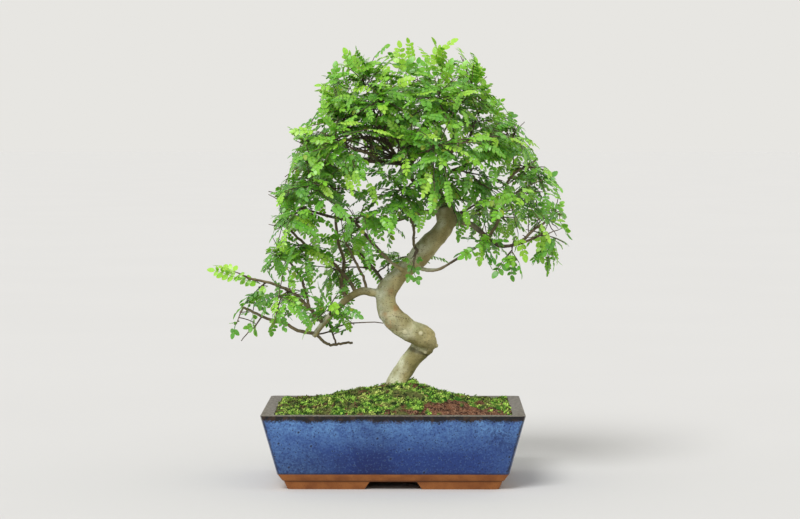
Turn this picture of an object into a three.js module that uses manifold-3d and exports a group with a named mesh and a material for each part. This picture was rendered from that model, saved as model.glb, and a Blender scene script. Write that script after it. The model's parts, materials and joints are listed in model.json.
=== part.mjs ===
// Japanese pepper bonsai in a rectangular glazed tray.
// Millimetres, +Z up. The origin is on the surface that the tray stands on, under its centre.
// +X is the right of the tree as it is displayed, and -Y is its front.

import * as THREE from 'three';
import { mergeVertices } from 'three/addons/utils/BufferGeometryUtils.js';
import Module from 'manifold-3d';

const wasm = await Module();
wasm.setup();

// Driving dimensions

const SEAT_GAP = 0.3; // between pieces that rest on each other
const V = (x, y, z) => new THREE.Vector3(x, y, z);

const TRAY = {
  length: 280,
  depth: 210,
  height: 81,
  rimWidth: 13.5,
  corner: 5, // radius of the upright corners
  bandTop: 17.4, // the glaze ends here
  bandTopInset: 16.7,
  bandFoot: 9.4,
  bandFootInset: 22.1,
  footTop: 8.9,
  footTopInset: 23.6,
  footInset: 27.2,
  footWall: 14,
  recess: 8.4, // height of the hollow under the floor, and of the gaps between the feet
  frontGap: [61, 50], // width at the bottom and at the top
  sideGap: [48, 38],
  floorTop: 16,
  drainRadius: 8,
  drainX: 62,
};

const SCREEN = { size: 26, thick: 1, hole: 3.2, pitch: 5 };

const MOUND = {
  centre: [0, 2],
  edge: 76.5,
  broad: 24, // a wide low rise over the whole tray
  broadSink: 0.14, // share of that rise that stays under the level edge
  broadReach: 72,
  stretch: 1.3,
  crown: 10, // the steep heap round the trunk
  crownCentre: [14, 2],
  crownReach: 22,
  cornerShare: 0.975, // the corners are drawn in, clear of the tray's rounded ones
};

const MOSS = {
  thick: 4.6,
  lip: 1.2, // thickness at its ragged edge
  bump: 1.3,
  trunkClear: 0.7,
  reach: 0.965, // how far toward the rim it grows
  bareX: 60, // bare soil shows beyond this, on the right
  bareDepth: 70,
  bareLeast: 0.12, // how far its edge is drawn in there, and how much more in the middle
  bareMore: 0.42,
  ragged: 0.03,
};
const MOSS_PATCH = { middle: [106, 16], half: [10, 34], count: 14, ragged: 0.1 };

const TWIG = { base: 0.9, end: 0.85, share: 0.35, sides: 3 };
const STEM = { end: 0.8, sides: 3 };
const LEAF = {
  shortest: 27,
  longest: 36,
  thick: 1.3,
  petiole: 0.27, // share of the length before the first leaflets
  endLeaflet: 0.23, // share of the length in the last leaflet
  lean: THREE.MathUtils.degToRad(64), // from the rib to a leaflet
  stalkHalf: 0.38,
  ribHalf: 0.62,
  clear: 0.45,
  tries: 48,
  leastSize: 0.7, // of the drawn length, on the last try
};
// A spray's side shoots: where they leave its stem, and how far each runs before its leaf
const SIDE_SHOOTS = [0.45, 0.8];
const SHOOT_REACH = { low: 13, high: 25, from: 300 };
// The crown's outline seen from the front, as rows of height, left edge and right edge, and its depth
const CROWN = {
  rows: [
    [130, -206, 40], [240, -206, 188], [265, -158, 197], [330, -144, 188], [380, -128, 170],
    [420, -102, 134], [455, -78, 104], [487, -56, 86],
  ],
  halfDepth: 125,
  middle: V(0, 0, 260),
  reach: V(190, 90, 220),
};

const TRUNK_CLEAR = 0.35; // between the trunk and the soil
const MERGE = 0.12; // the longest edge that fusing may take out
const SEED = 20251;

// Colours and finishes

const bark = new THREE.MeshStandardMaterial({ color: 0xa09a7c, roughness: 0.75, metalness: 0 });
const glaze = new THREE.MeshStandardMaterial({ color: 0x34549a, roughness: 0.22, metalness: 0 });
const earth = new THREE.MeshStandardMaterial({ color: 0x5c3b28, roughness: 0.95, metalness: 0 });
const mossGreen = new THREE.MeshStandardMaterial({ color: 0x6c9a2c, roughness: 0.9, metalness: 0 });
const netting = new THREE.MeshStandardMaterial({ color: 0x2b2b2b, roughness: 0.7, metalness: 0 });
const leafGreen = new THREE.MeshStandardMaterial({ color: 0x4c9a2a, roughness: 0.5, metalness: 0 });
const shootGreen = new THREE.MeshStandardMaterial({ color: 0x9fc93a, roughness: 0.5, metalness: 0 });

// Helpers

function solidOf(geometry) {
  const bare = geometry.index ? geometry.clone() : geometry;
  bare.deleteAttribute('normal');
  bare.deleteAttribute('uv');
  const welded = mergeVertices(bare, 1e-4);
  return new wasm.Manifold(
    new wasm.Mesh({
      numProp: 3,
      vertProperties: new Float32Array(welded.attributes.position.array),
      triVerts: new Uint32Array(welded.index.array),
    }),
  );
}

function meshOf(name, solid, material) {
  const { vertProperties, triVerts } = solid.getMesh();
  const geometry = new THREE.BufferGeometry();
  geometry.setAttribute('position', new THREE.BufferAttribute(vertProperties, 3));
  geometry.setIndex(new THREE.BufferAttribute(triVerts, 1));
  geometry.computeVertexNormals();
  const mesh = new THREE.Mesh(geometry, material);
  mesh.name = name;
  return mesh;
}

function seededDraws(seed) {
  let state = seed;
  return (low = 0, high = 1) => {
    state = (state + 0x6d2b79f5) | 0;
    let t = Math.imul(state ^ (state >>> 15), 1 | state);
    t = (t + Math.imul(t ^ (t >>> 7), 61 | t)) ^ t;
    return low + ((high - low) * ((t ^ (t >>> 14)) >>> 0)) / 4294967296;
  };
}

// Fused into one, with edges too short to see taken out
function join(solids) {
  return solids.reduce((all, one) => all.add(one)).simplify(MERGE);
}

// A tapered limb: a cylinder bent along a spline, with a radius for each of its points
function limb(points, radii, sides, steps, swell = () => 0) {
  const curve = new THREE.CatmullRomCurve3(points, false, 'centripetal');
  const frames = curve.computeFrenetFrames(steps, false);
  const geometry = new THREE.CylinderGeometry(1, 1, 1, sides, steps);
  const place = geometry.attributes.position;
  for (let i = 0; i < place.count; i += 1) {
    const u = Math.min(1, Math.max(0, place.getY(i) + 0.5));
    const step = Math.round(u * steps);
    const along = curve.getUtoTmapping(u) * (radii.length - 1);
    const before = Math.min(Math.floor(along), radii.length - 2);
    const radius = THREE.MathUtils.lerp(radii[before], radii[before + 1], along - before);
    const turn = Math.atan2(place.getX(i), place.getZ(i));
    const reach = radius * (1 + swell(turn, u));
    const at = curve.getPointAt(u);
    at.addScaledVector(frames.binormals[step], reach * place.getX(i));
    at.addScaledVector(frames.normals[step], reach * place.getZ(i));
    place.setXYZ(i, at.x, at.y, at.z);
  }
  return solidOf(geometry);
}

// A closed body through rings of equal point counts, each end closed on the ring's middle
function loft(rings) {
  const count = rings[0].length;
  const middle = (ring) => ring.reduce((sum, p) => sum.add(p), V(0, 0, 0)).divideScalar(count);
  const points = [...rings.flat(), middle(rings[0]), middle(rings.at(-1))];
  const first = rings.length * count;
  const faces = [];
  for (let k = 0; k < count; k += 1) {
    const next = (k + 1) % count;
    faces.push(first, next, k);
    const last = (rings.length - 1) * count;
    faces.push(first + 1, last + k, last + next);
    for (let r = 0; r < rings.length - 1; r += 1) {
      const low = r * count;
      const high = low + count;
      faces.push(low + k, low + next, high + next, low + k, high + next, high + k);
    }
  }
  const geometry = new THREE.BufferGeometry().setFromPoints(points);
  geometry.setIndex(faces);
  return solidOf(geometry);
}

// A rectangle with rounded corners at one height, anticlockwise seen from above
function roundedRing(halfX, halfY, radius, z) {
  const perCorner = 2;
  const ring = [];
  const corners = [[1, 1], [-1, 1], [-1, -1], [1, -1]];
  corners.forEach(([sx, sy], quarter) => {
    for (let k = 0; k <= perCorner; k += 1) {
      const turn = (quarter + k / perCorner) * (Math.PI / 2);
      const x = sx * (halfX - radius) + radius * Math.cos(turn);
      const y = sy * (halfY - radius) + radius * Math.sin(turn);
      ring.push(V(x, y, z));
    }
  });
  return ring;
}

const trayRing = (inset, z) =>
  roundedRing(TRAY.length / 2 - inset, TRAY.depth / 2 - inset, TRAY.corner, z);

// How far the wall's inside lies in from the rim's outer edge, at a height
function cavityInset(z) {
  const slope = TRAY.bandTopInset / (TRAY.height - TRAY.bandTop);
  return TRAY.rimWidth + slope * (TRAY.height - z);
}

// Tray

function makeTray() {
  const outside = loft([
    trayRing(TRAY.footInset, 0),
    trayRing(TRAY.footTopInset, TRAY.footTop),
    trayRing(TRAY.bandFootInset, TRAY.bandFoot),
    trayRing(TRAY.bandTopInset, TRAY.bandTop),
    trayRing(0, TRAY.height),
  ]);
  const above = TRAY.height + 1;
  const inside = loft([
    trayRing(cavityInset(TRAY.floorTop), TRAY.floorTop),
    trayRing(cavityInset(above), above),
  ]);
  const footInner = TRAY.footInset + TRAY.footWall;
  const under = loft([trayRing(footInner, -1), trayRing(footInner, TRAY.recess)]);
  return [
    inside,
    under,
    footGap(TRAY.frontGap, TRAY.depth, 0),
    footGap(TRAY.sideGap, TRAY.length, Math.PI / 2),
    drainHole(-1),
    drainHole(1),
  ].reduce((tray, cut) => tray.subtract(cut), outside);
}

// The gap between two feet, narrower at its top, cut right through from side to side
function footGap([widthLow, widthHigh], through, turn) {
  const outline = new THREE.Shape([
    new THREE.Vector2(-widthLow / 2 - 1, -1.2),
    new THREE.Vector2(widthLow / 2 + 1, -1.2),
    new THREE.Vector2(widthHigh / 2, TRAY.recess),
    new THREE.Vector2(-widthHigh / 2, TRAY.recess),
  ]);
  const bar = new THREE.ExtrudeGeometry(outline, { depth: through, bevelEnabled: false });
  bar.translate(0, 0, -through / 2);
  bar.rotateX(Math.PI / 2);
  bar.rotateZ(turn);
  return solidOf(bar);
}

function drainHole(side) {
  const hole = new THREE.CylinderGeometry(TRAY.drainRadius, TRAY.drainRadius, TRAY.floorTop + 8, 16);
  hole.rotateX(Math.PI / 2);
  hole.translate(side * TRAY.drainX, 0, TRAY.floorTop / 2);
  return solidOf(hole);
}

const screenMiddle = (side) =>
  V(side * TRAY.drainX, 0, TRAY.floorTop + SEAT_GAP + SCREEN.thick / 2);

function screenSheet(side, clearance) {
  const size = SCREEN.size + 2 * clearance;
  const sheet = new THREE.BoxGeometry(size, size, SCREEN.thick + 2 * clearance);
  const middle = screenMiddle(side);
  sheet.translate(middle.x, middle.y, middle.z);
  return solidOf(sheet);
}

// A square of netting over a drain hole, lying on the tray's floor
function makeScreen(side) {
  const { hole, pitch } = SCREEN;
  const middle = screenMiddle(side);
  let screen = screenSheet(side, 0);
  for (const column of [-0.5, 0.5]) {
    for (const row of [-0.5, 0.5]) {
      const cut = new THREE.BoxGeometry(hole, hole, SCREEN.thick * 3);
      cut.translate(middle.x + column * pitch, middle.y + row * pitch, middle.z);
      screen = screen.subtract(solidOf(cut));
    }
  }
  return screen;
}

// Soil and moss

const MOUND_CENTRE = V(MOUND.centre[0], MOUND.centre[1], 0);

function soilHeight(x, y) {
  const away = Math.hypot((x - MOUND_CENTRE.x) / MOUND.stretch, y - MOUND_CENTRE.y);
  const near = Math.hypot(x - MOUND.crownCentre[0], y - MOUND.crownCentre[1]);
  const broad = MOUND.broad * (Math.exp(-((away / MOUND.broadReach) ** 2)) - MOUND.broadSink);
  return MOUND.edge + Math.max(0, broad) + MOUND.crown * Math.exp(-((near / MOUND.crownReach) ** 2));
}

// Points round a rectangle, the same count on every ring, drawn in toward the mound's centre
function moundRing(halfX, halfY, share, height) {
  const acrossX = 8;
  const acrossY = 6;
  const rim = [];
  for (let k = 0; k < acrossY; k += 1) rim.push([halfX, halfY * ((2 * k) / acrossY - 1)]);
  for (let k = 0; k < acrossX; k += 1) rim.push([halfX * (1 - (2 * k) / acrossX), halfY]);
  for (let k = 0; k < acrossY; k += 1) rim.push([-halfX, halfY * (1 - (2 * k) / acrossY)]);
  for (let k = 0; k < acrossX; k += 1) rim.push([halfX * ((2 * k) / acrossX - 1), -halfY]);
  return rim.map(([x, y], k) => {
    const drawn = typeof share === 'function' ? share(x, y, k) : share;
    const at = V(x, y, 0).sub(MOUND_CENTRE).multiplyScalar(drawn).add(MOUND_CENTRE);
    at.z = height(at.x, at.y, k);
    return at;
  });
}

function makeSoil(trunkHole) {
  const floor = TRAY.floorTop + SEAT_GAP;
  const gap = cavityInset(MOUND.edge) + SEAT_GAP;
  const low = cavityInset(floor) + SEAT_GAP;
  const half = (inset) => [TRAY.length / 2 - inset, TRAY.depth / 2 - inset];
  const [topX, topY] = half(gap);
  const [lowX, lowY] = half(low);
  const nearCorner = (x, y) => Math.abs(x) > 0.9 * lowX && Math.abs(y) > 0.9 * lowY;
  const clear = (x, y) => (nearCorner(x, y) ? MOUND.cornerShare : 1);
  const rings = [moundRing(lowX, lowY, clear, () => floor)];
  rings.push(moundRing(topX, topY, clear, () => MOUND.edge));
  for (const share of [0.84, 0.56, 0.34, 0.17]) {
    rings.push(moundRing(topX, topY, share, soilHeight));
  }
  const pockets = screenSheet(-1, SEAT_GAP).add(screenSheet(1, SEAT_GAP));
  return loft(rings).subtract(trunkHole).subtract(pockets);
}

function mossBump(x, y) {
  return MOSS.bump * (Math.sin(x * 0.34 + 1) * Math.cos(y * 0.29) + 0.5 * Math.sin(y * 0.61 - x * 0.2));
}

// The main sheet covers the left, the middle and the back, and leaves bare soil on the right
function makeMoss(soil, trunkHole) {
  const halfX = TRAY.length / 2 - TRAY.rimWidth - 2;
  const halfY = TRAY.depth / 2 - TRAY.rimWidth - 2;
  const edge = (x, y, k) => {
    const middle = MOSS.bareMore * Math.exp(-((y / MOSS.bareDepth) ** 2));
    const bare = x > MOSS.bareX ? MOSS.bareLeast + middle : 0;
    return MOSS.reach - bare - MOSS.ragged * Math.abs(Math.sin(k * 1.9));
  };
  const top = (rise) => (x, y) => soilHeight(x, y) + rise + mossBump(x, y) * (rise / MOSS.thick);
  const shrink = (share) => (x, y, k) => share * edge(x, y, k);
  const rings = [
    moundRing(halfX, halfY, edge, () => MOUND.edge - 4),
    moundRing(halfX, halfY, edge, top(MOSS.lip)),
    moundRing(halfX, halfY, shrink(0.95), top(MOSS.thick * 0.85)),
  ];
  for (const share of [0.66, 0.4, 0.2]) {
    rings.push(moundRing(halfX, halfY, shrink(share), top(MOSS.thick)));
  }
  return loft(rings).subtract(trunkHole).subtract(soil.translate(0, 0, SEAT_GAP));
}

// A smaller cushion of moss near the right end
function makeMossPatch(soil) {
  const { middle: [middleX, middleY], half: [halfX, halfY], count } = MOSS_PATCH;
  const ring = (share, rise) => Array.from({ length: count }, (_, k) => {
    const turn = (k / count) * Math.PI * 2;
    const ragged = share * (1 + MOSS_PATCH.ragged * Math.sin(k * 2.3));
    const x = middleX + halfX * ragged * Math.cos(turn);
    const y = middleY + halfY * ragged * Math.sin(turn);
    return V(x, y, rise < 0 ? MOUND.edge + rise : soilHeight(x, y) + rise);
  });
  const rings = [ring(1, -MOSS.thick), ring(1, MOSS.lip)];
  rings.push(ring(0.75, 0.65 * MOSS.thick), ring(0.35, 0.83 * MOSS.thick));
  const patch = loft(rings);
  return patch.subtract(soil.translate(0, 0, SEAT_GAP));
}

// Tree: the trunk rises to the right, folds back to the left in front of itself, then leans right

const TRUNK_LOW = {
  points: [[-3, 3, 44], [-1, 2, 72], [2, 2, 95], [6, 2, 111], [14, 4, 125], [24, 5, 137], [35, 2, 148]],
  radii: [15, 15.5, 13, 10.6, 9.8, 10.8, 11.8],
};
const TRUNK_HIGH = {
  points: [
    [46, 1, 151], [41, 0, 151], [30, -6, 158], [16, -11, 165], [2, -12, 175], [-5, -11, 184],
    [-9, -9, 195], [-8, -7, 206], [-2, -5, 216], [7, -3, 225], [15, -1, 232], [24, 1, 240],
    [33, 2, 251], [41, 3, 260], [50, 4, 269], [56, 5, 278], [57, 6, 289], [56, 6, 298],
  ],
  radii: [5, 10.6, 12.8, 11.4, 11.4, 11.3, 11.4, 10.6, 10.3, 9.6, 9.6, 10.8, 12.4, 11.2, 10.4, 9.8, 11.6, 10],
};

// Branches: centre line from the trunk outward, with the radius at the root and at the tip
const BRANCHES = {
  first_limb: {
    radii: [4.6, 3],
    points: [[-9, -9, 202], [-21, -10, 205], [-35, -15, 207], [-49, -21, 200], [-62, -26, 188],
      [-75, -28, 174], [-87, -30, 159]],
  },
  low_left: {
    radii: [2, 1.3],
    points: [[-84, -30, 162], [-103, -36, 166], [-117, -40, 174], [-134, -44, 179], [-161, -50, 192]],
  },
  low_right: {
    radii: [1.7, 1.3],
    points: [[-84, -30, 162], [-71, -24, 150], [-58, -18, 150], [-45, -13, 151]],
  },
  left_mid: {
    radii: [2.4, 1.3],
    points: [[-77, -28, 174], [-97, -42, 197], [-109, -48, 208], [-124, -54, 216], [-155, -62, 224]],
  },
  left_inner: {
    radii: [1.7, 1.3],
    points: [[-90, -37, 188], [-95, -34, 208], [-101, -32, 225], [-112, -30, 239]],
  },
  left_up: {
    radii: [2.2, 1.3],
    points: [[-40, -17, 205], [-50, -14, 220], [-68, -8, 239], [-90, -10, 253], [-115, -14, 275]],
  },
  limb_top_twig: {
    radii: [1.7, 1.3],
    points: [[-29, -13, 205], [-33, -16, 222], [-45, -20, 246], [-53, -24, 263]],
  },
  riser: {
    radii: [2.2, 1.3],
    points: [[-50, -21, 198], [-57, -12, 213], [-54, -2, 238], [-61, 6, 261], [-63, 8, 294], [-59, 6, 311]],
  },
  second_limb: {
    radii: [2.2, 1.3],
    points: [[13, -9, 228], [-2, -22, 238], [-22, -31, 259], [-41, -38, 282], [-63, -46, 303],
      [-76, -50, 311]],
  },
  right_low: {
    radii: [2.4, 1.3],
    points: [[20, -3, 233], [37, -12, 230], [48, -18, 231], [67, -28, 242], [85, -32, 253]],
  },
  front_twig: { radii: [1.7, 1.3], points: [[28, -4, 246], [22, -16, 258], [21, -20, 278], [11, -22, 303]] },
  left_level: {
    radii: [2.5, 1.3],
    points: [[52, 4, 291], [33, 0, 292], [-1, -8, 283], [-24, -14, 281], [-63, -24, 287], [-95, -32, 296],
      [-113, -36, 300]],
  },
  right_thick: {
    radii: [3.2, 1.3],
    points: [[58, 5, 279], [81, 0, 280], [98, -16, 268], [114, -30, 257], [136, -36, 260], [162, -38, 271]],
  },
  leader: {
    radii: [3.8, 1.5],
    points: [[56, 6, 292], [51, 10, 310], [47, 12, 327], [51, 14, 343], [65, 12, 376], [66, 6, 410]],
  },
  left_leader: {
    radii: [3.2, 1.3],
    points: [[53, 6, 294], [41, 4, 307], [28, 0, 318], [4, -12, 351], [-15, -18, 383], [-21, -18, 401]],
  },
  big_left: {
    radii: [2.6, 1.3],
    points: [[7, -11, 346], [-15, -18, 347], [-37, -26, 350], [-72, -38, 361], [-87, -42, 364]],
  },
  right_upper: { radii: [2.2, 1.3], points: [[48, 12, 325], [60, 8, 335], [93, -6, 349], [123, -12, 364]] },
  right_mid: {
    radii: [1.9, 1.3],
    points: [[102, -20, 265], [114, -18, 285], [118, -14, 302], [124, -6, 327], [137, 0, 339]],
  },
  right_far: { radii: [1.7, 1.3], points: [[136, -36, 260], [150, -32, 274], [163, -28, 283]] },
  back_low: { radii: [2.6, 1.3], points: [[-6, -2, 207], [-12, 30, 214], [-22, 58, 226], [-34, 84, 238]] },
  back_mid: { radii: [2.8, 1.3], points: [[52, 8, 270], [54, 26, 276], [62, 50, 284], [84, 92, 294]] },
  back_high: { radii: [2.4, 1.3], points: [[50, 14, 340], [44, 34, 350], [34, 60, 360], [22, 86, 366]] },
  back_right: { radii: [2.4, 1.3], points: [[56, 14, 352], [76, 34, 368], [96, 54, 374], [112, 70, 376]] },
  back_left: { radii: [2.2, 1.3], points: [[-4, -14, 366], [-20, 10, 372], [-44, 36, 372], [-66, 60, 366]] },
  front_high: { radii: [2.2, 1.3], points: [[15, -6, 336], [22, -34, 350], [30, -60, 358], [38, -84, 360]] },
  front_left: { radii: [2, 1.3], points: [[-15, -18, 347], [-26, -50, 356], [-40, -80, 360]] },
};

// Sprays: the branch each grows from, how far along it, the tip of its stem, and how far its leaves
// rise (or, below zero, hang)
const SPRAYS = {
  far_left_shoot: ['left_mid', 1, [-170, -64, 231], 0.1, 'shoot'],
  low_left_tip: ['low_left', 1, [-168, -54, 174], -0.5],
  low_left_upright: ['low_left', 0.5, [-126, -30, 202], 0.1],
  left_hanging: ['left_mid', 0.8, [-152, -50, 203], -0.2],
  left_front: ['left_mid', 0.5, [-122, -88, 204], -0.2],
  left_inner_tip: ['left_inner', 1, [-128, -34, 252], 0],
  limb_front: ['first_limb', 0.72, [-66, -66, 198], -0.2],
  limb_end: ['low_right', 0.6, [-74, -20, 182], 0],
  left_up_tip: ['left_up', 1, [-122, -16, 286], 0.1],
  left_up_front: ['left_up', 0.7, [-104, -46, 258], -0.1],
  limb_top_tip: ['limb_top_twig', 1, [-54, -54, 272], -0.1],
  back_low_tip: ['back_low', 1, [-52, 99, 252], -0.1],
  back_low_side: ['back_low', 0.6, [10, 72, 240], -0.1],
  back_low_left: ['back_low', 0.7, [-70, 70, 226], -0.2],
  left_level_tip: ['left_level', 1, [-122, -34, 313], 0],
  left_level_front: ['left_level', 0.86, [-104, -74, 292], -0.2],
  second_limb_tip: ['second_limb', 1, [-92, -74, 326], 0],
  second_limb_front: ['second_limb', 0.65, [-28, -78, 292], -0.2],
  riser_tip: ['riser', 1, [-84, 16, 330], 0.1],
  big_left_tip: ['big_left', 1, [-98, -44, 371], 0.1],
  big_left_low: ['big_left', 0.9, [-101, -22, 341], -0.1],
  big_left_mid: ['big_left', 0.6, [-60, 0, 408], 0.3],
  back_left_tip: ['back_left', 1, [-98, 74, 356], -0.1],
  back_left_top: ['back_left', 0.6, [-58, 34, 416], 0.3],
  left_leader_tip: ['left_leader', 1, [-34, -20, 436], 0.5],
  left_leader_left: ['left_leader', 0.85, [-68, -30, 409], 0.3],
  left_leader_front: ['left_leader', 0.85, [-14, -62, 416], 0.2],
  front_left_tip: ['front_left', 1, [-62, -94, 372], -0.1],
  leader_tip: ['leader', 1, [50, 2, 453], 1.4, 'shoot'],
  leader_left: ['left_leader', 0.95, [4, 0, 443], 1.4, 'shoot'],
  leader_right: ['leader', 0.95, [88, -4, 430], 0.4],
  leader_front: ['leader', 0.85, [44, -54, 416], 0.2],
  leader_back: ['leader', 0.9, [24, 52, 420], 0.3],
  back_high_tip: ['back_high', 1, [8, 102, 384], 0],
  back_right_tip: ['back_right', 1, [134, 82, 370], -0.1],
  back_right_top: ['back_right', 0.5, [98, 52, 412], 0.3],
  right_upper_tip: ['right_upper', 1, [133, -14, 382], 0.2],
  right_upper_front: ['right_upper', 0.7, [100, -58, 376], 0],
  front_high_tip: ['front_high', 1, [52, -101, 366], -0.1],
  front_high_mid: ['front_high', 0.5, [8, -70, 376], 0.1],
  right_mid_tip: ['right_mid', 1, [156, 10, 340], 0],
  right_mid_front: ['right_mid', 0.5, [136, -56, 316], -0.1],
  right_far_tip: ['right_far', 1, [176, 2, 292], 0],
  right_thick_tip: ['right_thick', 1, [168, -34, 264], -0.4],
  right_hanging: ['right_thick', 0.7, [127, -46, 250], -0.9],
  right_low_tip: ['right_low', 1, [104, -44, 264], -0.3],
  back_mid_tip: ['back_mid', 1, [110, 100, 304], -0.1],
  back_mid_side: ['back_mid', 0.6, [124, 56, 284], -0.2],
  stub_front: ['leader', 0.2, [56, -46, 332], -0.1],
  stub_right: ['right_upper', 0.3, [94, -40, 322], -0.2],
  front_twig_tip: ['front_twig', 1, [6, -48, 322], 0],
  front_twig_low: ['front_twig', 0.2, [26, -40, 248], -0.8],
};

const pointsOf = (rows) => rows.map((row) => V(...row));

function trunkSwell(turn, u) {
  return 0.05 * Math.sin(turn * 3 + u * 9) + 0.04 * Math.cos(turn * 2 - u * 21);
}

function pointOn(branch, share) {
  return new THREE.CatmullRomCurve3(pointsOf(branch.points), false, 'centripetal').getPointAt(share);
}

// The line from a branch to a spray's tip, arched a little, split where the wood ends
function sprayLine(name) {
  const [branch, share, tip] = SPRAYS[name];
  const root = pointOn(BRANCHES[branch], share);
  const end = V(...tip);
  const arch = 0.1 * root.distanceTo(end);
  const bow = root.clone().lerp(end, 0.5).add(V(0, 0, arch));
  const line = new THREE.QuadraticBezierCurve3(root, bow, end);
  const fork = line.getPoint(TWIG.share);
  const heading = line.getTangent(TWIG.share);
  return { line, fork, heading, end };
}

function makeTree() {
  const low = limb(pointsOf(TRUNK_LOW.points), TRUNK_LOW.radii, 10, 10, trunkSwell);
  const high = limb(pointsOf(TRUNK_HIGH.points), TRUNK_HIGH.radii, 10, 18, trunkSwell);
  const parts = [low, high];
  for (const { points, radii } of Object.values(BRANCHES)) {
    const thick = radii[0] > 3;
    parts.push(limb(pointsOf(points), radii, thick ? 6 : 4, points.length + (thick ? 2 : 0)));
  }
  for (const name of Object.keys(SPRAYS)) {
    const { line } = sprayLine(name);
    const wood = [line.getPoint(0), line.getPoint(TWIG.share)];
    parts.push(limb(wood, [TWIG.base, TWIG.end], TWIG.sides, 1));
  }
  return join(parts);
}

// The trunk's own shape, a little larger, cut out of what it stands in
function trunkHole(clearance) {
  const radii = TRUNK_LOW.radii.map((radius) => radius + clearance);
  const points = pointsOf(TRUNK_LOW.points);
  points[0].z -= clearance;
  return limb(points, radii, 10, 10, trunkSwell);
}

// Leaves: a leaf is one thin blade, thickest along its rib, cut to the rib into leaflets, on a bare
// stalk of its own length

function leafBlade({ length, pairs, arch, stalk }, grow = 0) {
  const endLeaflet = LEAF.endLeaflet * length;
  const first = stalk + LEAF.petiole * length;
  const pitch = (stalk + length - first - endLeaflet) / pairs;
  const reach = 1.12 * pitch + 1;
  const half = LEAF.thick / 2 + grow;
  const stalkHalf = LEAF.stalkHalf + grow;
  const ribHalf = LEAF.ribHalf + grow;
  const leafletHalf = 0.4 * pitch + grow;
  const points = [];
  const faces = [];
  const add = (x, y, z = 0) => points.push([x, y, z]) - 1;
  const ribs = [];
  const edges = { 1: [], '-1': [] };
  const rib = (x, high = half) => ribs.push([add(x, 0, high), add(x, 0, -high)]);
  rib(-grow, stalkHalf);
  for (const side of [1, -1]) edges[side].push([add(-grow, side * stalkHalf)]);
  for (let k = 0; k <= pairs; k += 1) {
    const notch = first + pitch * k;
    const last = k === pairs;
    const root = last ? notch + 0.45 * endLeaflet : notch + 0.4 * pitch;
    rib(root);
    for (const side of [1, -1]) {
      const along = (out, forward) => add(
        root + out * Math.cos(LEAF.lean) + forward * Math.sin(LEAF.lean),
        side * (out * Math.sin(LEAF.lean) - forward * Math.cos(LEAF.lean)),
      );
      const edge = [add(notch - 0.15 * pitch, side * ribHalf)];
      if (last) {
        edge.push(add(notch + 0.55 * endLeaflet, side * leafletHalf));
      } else {
        const full = (0.86 + 0.14 * Math.sin((Math.PI * (k + 0.7)) / pairs)) * reach;
        edge.push(along(0.84 * full + grow, -0.5 * leafletHalf), along(0.78 * full, leafletHalf));
      }
      edges[side].push(edge);
    }
  }
  const tip = add(stalk + length + grow, 0);
  const face = (side, a, b, c, flip) => {
    const facingUp = side > 0;
    faces.push(...(facingUp === flip ? [a, c, b] : [a, b, c]));
  };
  for (const [level, below] of [[0, false], [1, true]]) {
    for (const side of [1, -1]) {
      let previous = edges[side][0][0];
      for (let k = 0; k <= pairs; k += 1) {
        const from = ribs[k][level];
        const to = ribs[k + 1][level];
        const edge = edges[side][k + 1];
        face(side, from, edge[0], previous, below);
        face(side, from, to, edge[0], below);
        const outline = k === pairs ? [...edge, tip] : edge;
        for (let n = 1; n < outline.length; n += 1) face(side, to, outline[n], outline[n - 1], below);
        previous = outline.at(-1);
      }
    }
  }
  const [baseTop, baseUnder] = ribs[0];
  const right = edges['1'][0][0];
  const left = edges['-1'][0][0];
  faces.push(baseTop, right, left, baseUnder, left, right);
  const bent = points.map(([x, y, z]) => {
    const beyond = Math.max(0, x - stalk);
    return V(x, y, z - arch * beyond * beyond - 0.012 * y * y);
  });
  const geometry = new THREE.BufferGeometry().setFromPoints(bent);
  geometry.setIndex(faces);
  return geometry;
}

// Where a leaf leaves its stem: its own X runs out along the rib, and its Z faces up and out of the
// crown, to the light
function leafPlace(origin, stemHeading, sideways, rise, draw) {
  const forward = stemHeading.clone().multiplyScalar(draw(0.25, 0.6));
  forward.addScaledVector(sideways, draw(0.75, 1));
  forward.add(V(draw(-0.25, 0.25), draw(-0.25, 0.25), rise + draw(-0.3, 0.1)));
  forward.normalize();
  const light = V(draw(-0.3, 0.3), draw(-0.5, 0.2), 0.7);
  light.add(origin.clone().sub(CROWN.middle).divide(CROWN.reach));
  const across = light.cross(forward).normalize();
  const up = forward.clone().cross(across);
  return new THREE.Matrix4().makeBasis(forward, across, up).setPosition(origin);
}

const obstacles = [];

const boxOf = (solid) => {
  const { min, max } = solid.boundingBox();
  return new THREE.Box3(V(...min), V(...max));
};

function block(owner, solid) {
  obstacles.push({ owner, solid, box: boxOf(solid) });
}

function isClear(solid, owner) {
  const box = boxOf(solid);
  const near = obstacles.filter((other) => other.owner !== owner && other.box.intersectsBox(box));
  return near.every((other) => other.solid.intersect(solid).isEmpty());
}

// The leafy stem of a spray, bent aside until it is clear of every branch and stem
function makeStem(name, draw) {
  const { fork, heading, end } = sprayLine(name);
  const start = fork.clone().addScaledVector(heading, SEAT_GAP);
  for (let attempt = 0; attempt < LEAF.tries; attempt += 1) {
    const stray = attempt * 1.5;
    const tip = end.clone().add(V(draw(-stray, stray), draw(-stray, stray), draw(-stray, stray)));
    const bow = start.clone().addScaledVector(heading, 0.45 * start.distanceTo(tip));
    const line = new THREE.QuadraticBezierCurve3(start, bow, tip);
    const points = [0, 0.5, 1].map((share) => line.getPoint(share));
    const solid = limb(points, [TWIG.end, STEM.end], STEM.sides, 2);
    const beyond = [0.15, 0.6, 1].map((share) => line.getPoint(share));
    const room = limb(beyond, [TWIG.end + LEAF.clear, STEM.end + LEAF.clear], STEM.sides, 3);
    if (isClear(room, name)) return { line, solid };
  }
  throw new Error(`no clear way for the stem ${name}`);
}

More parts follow.
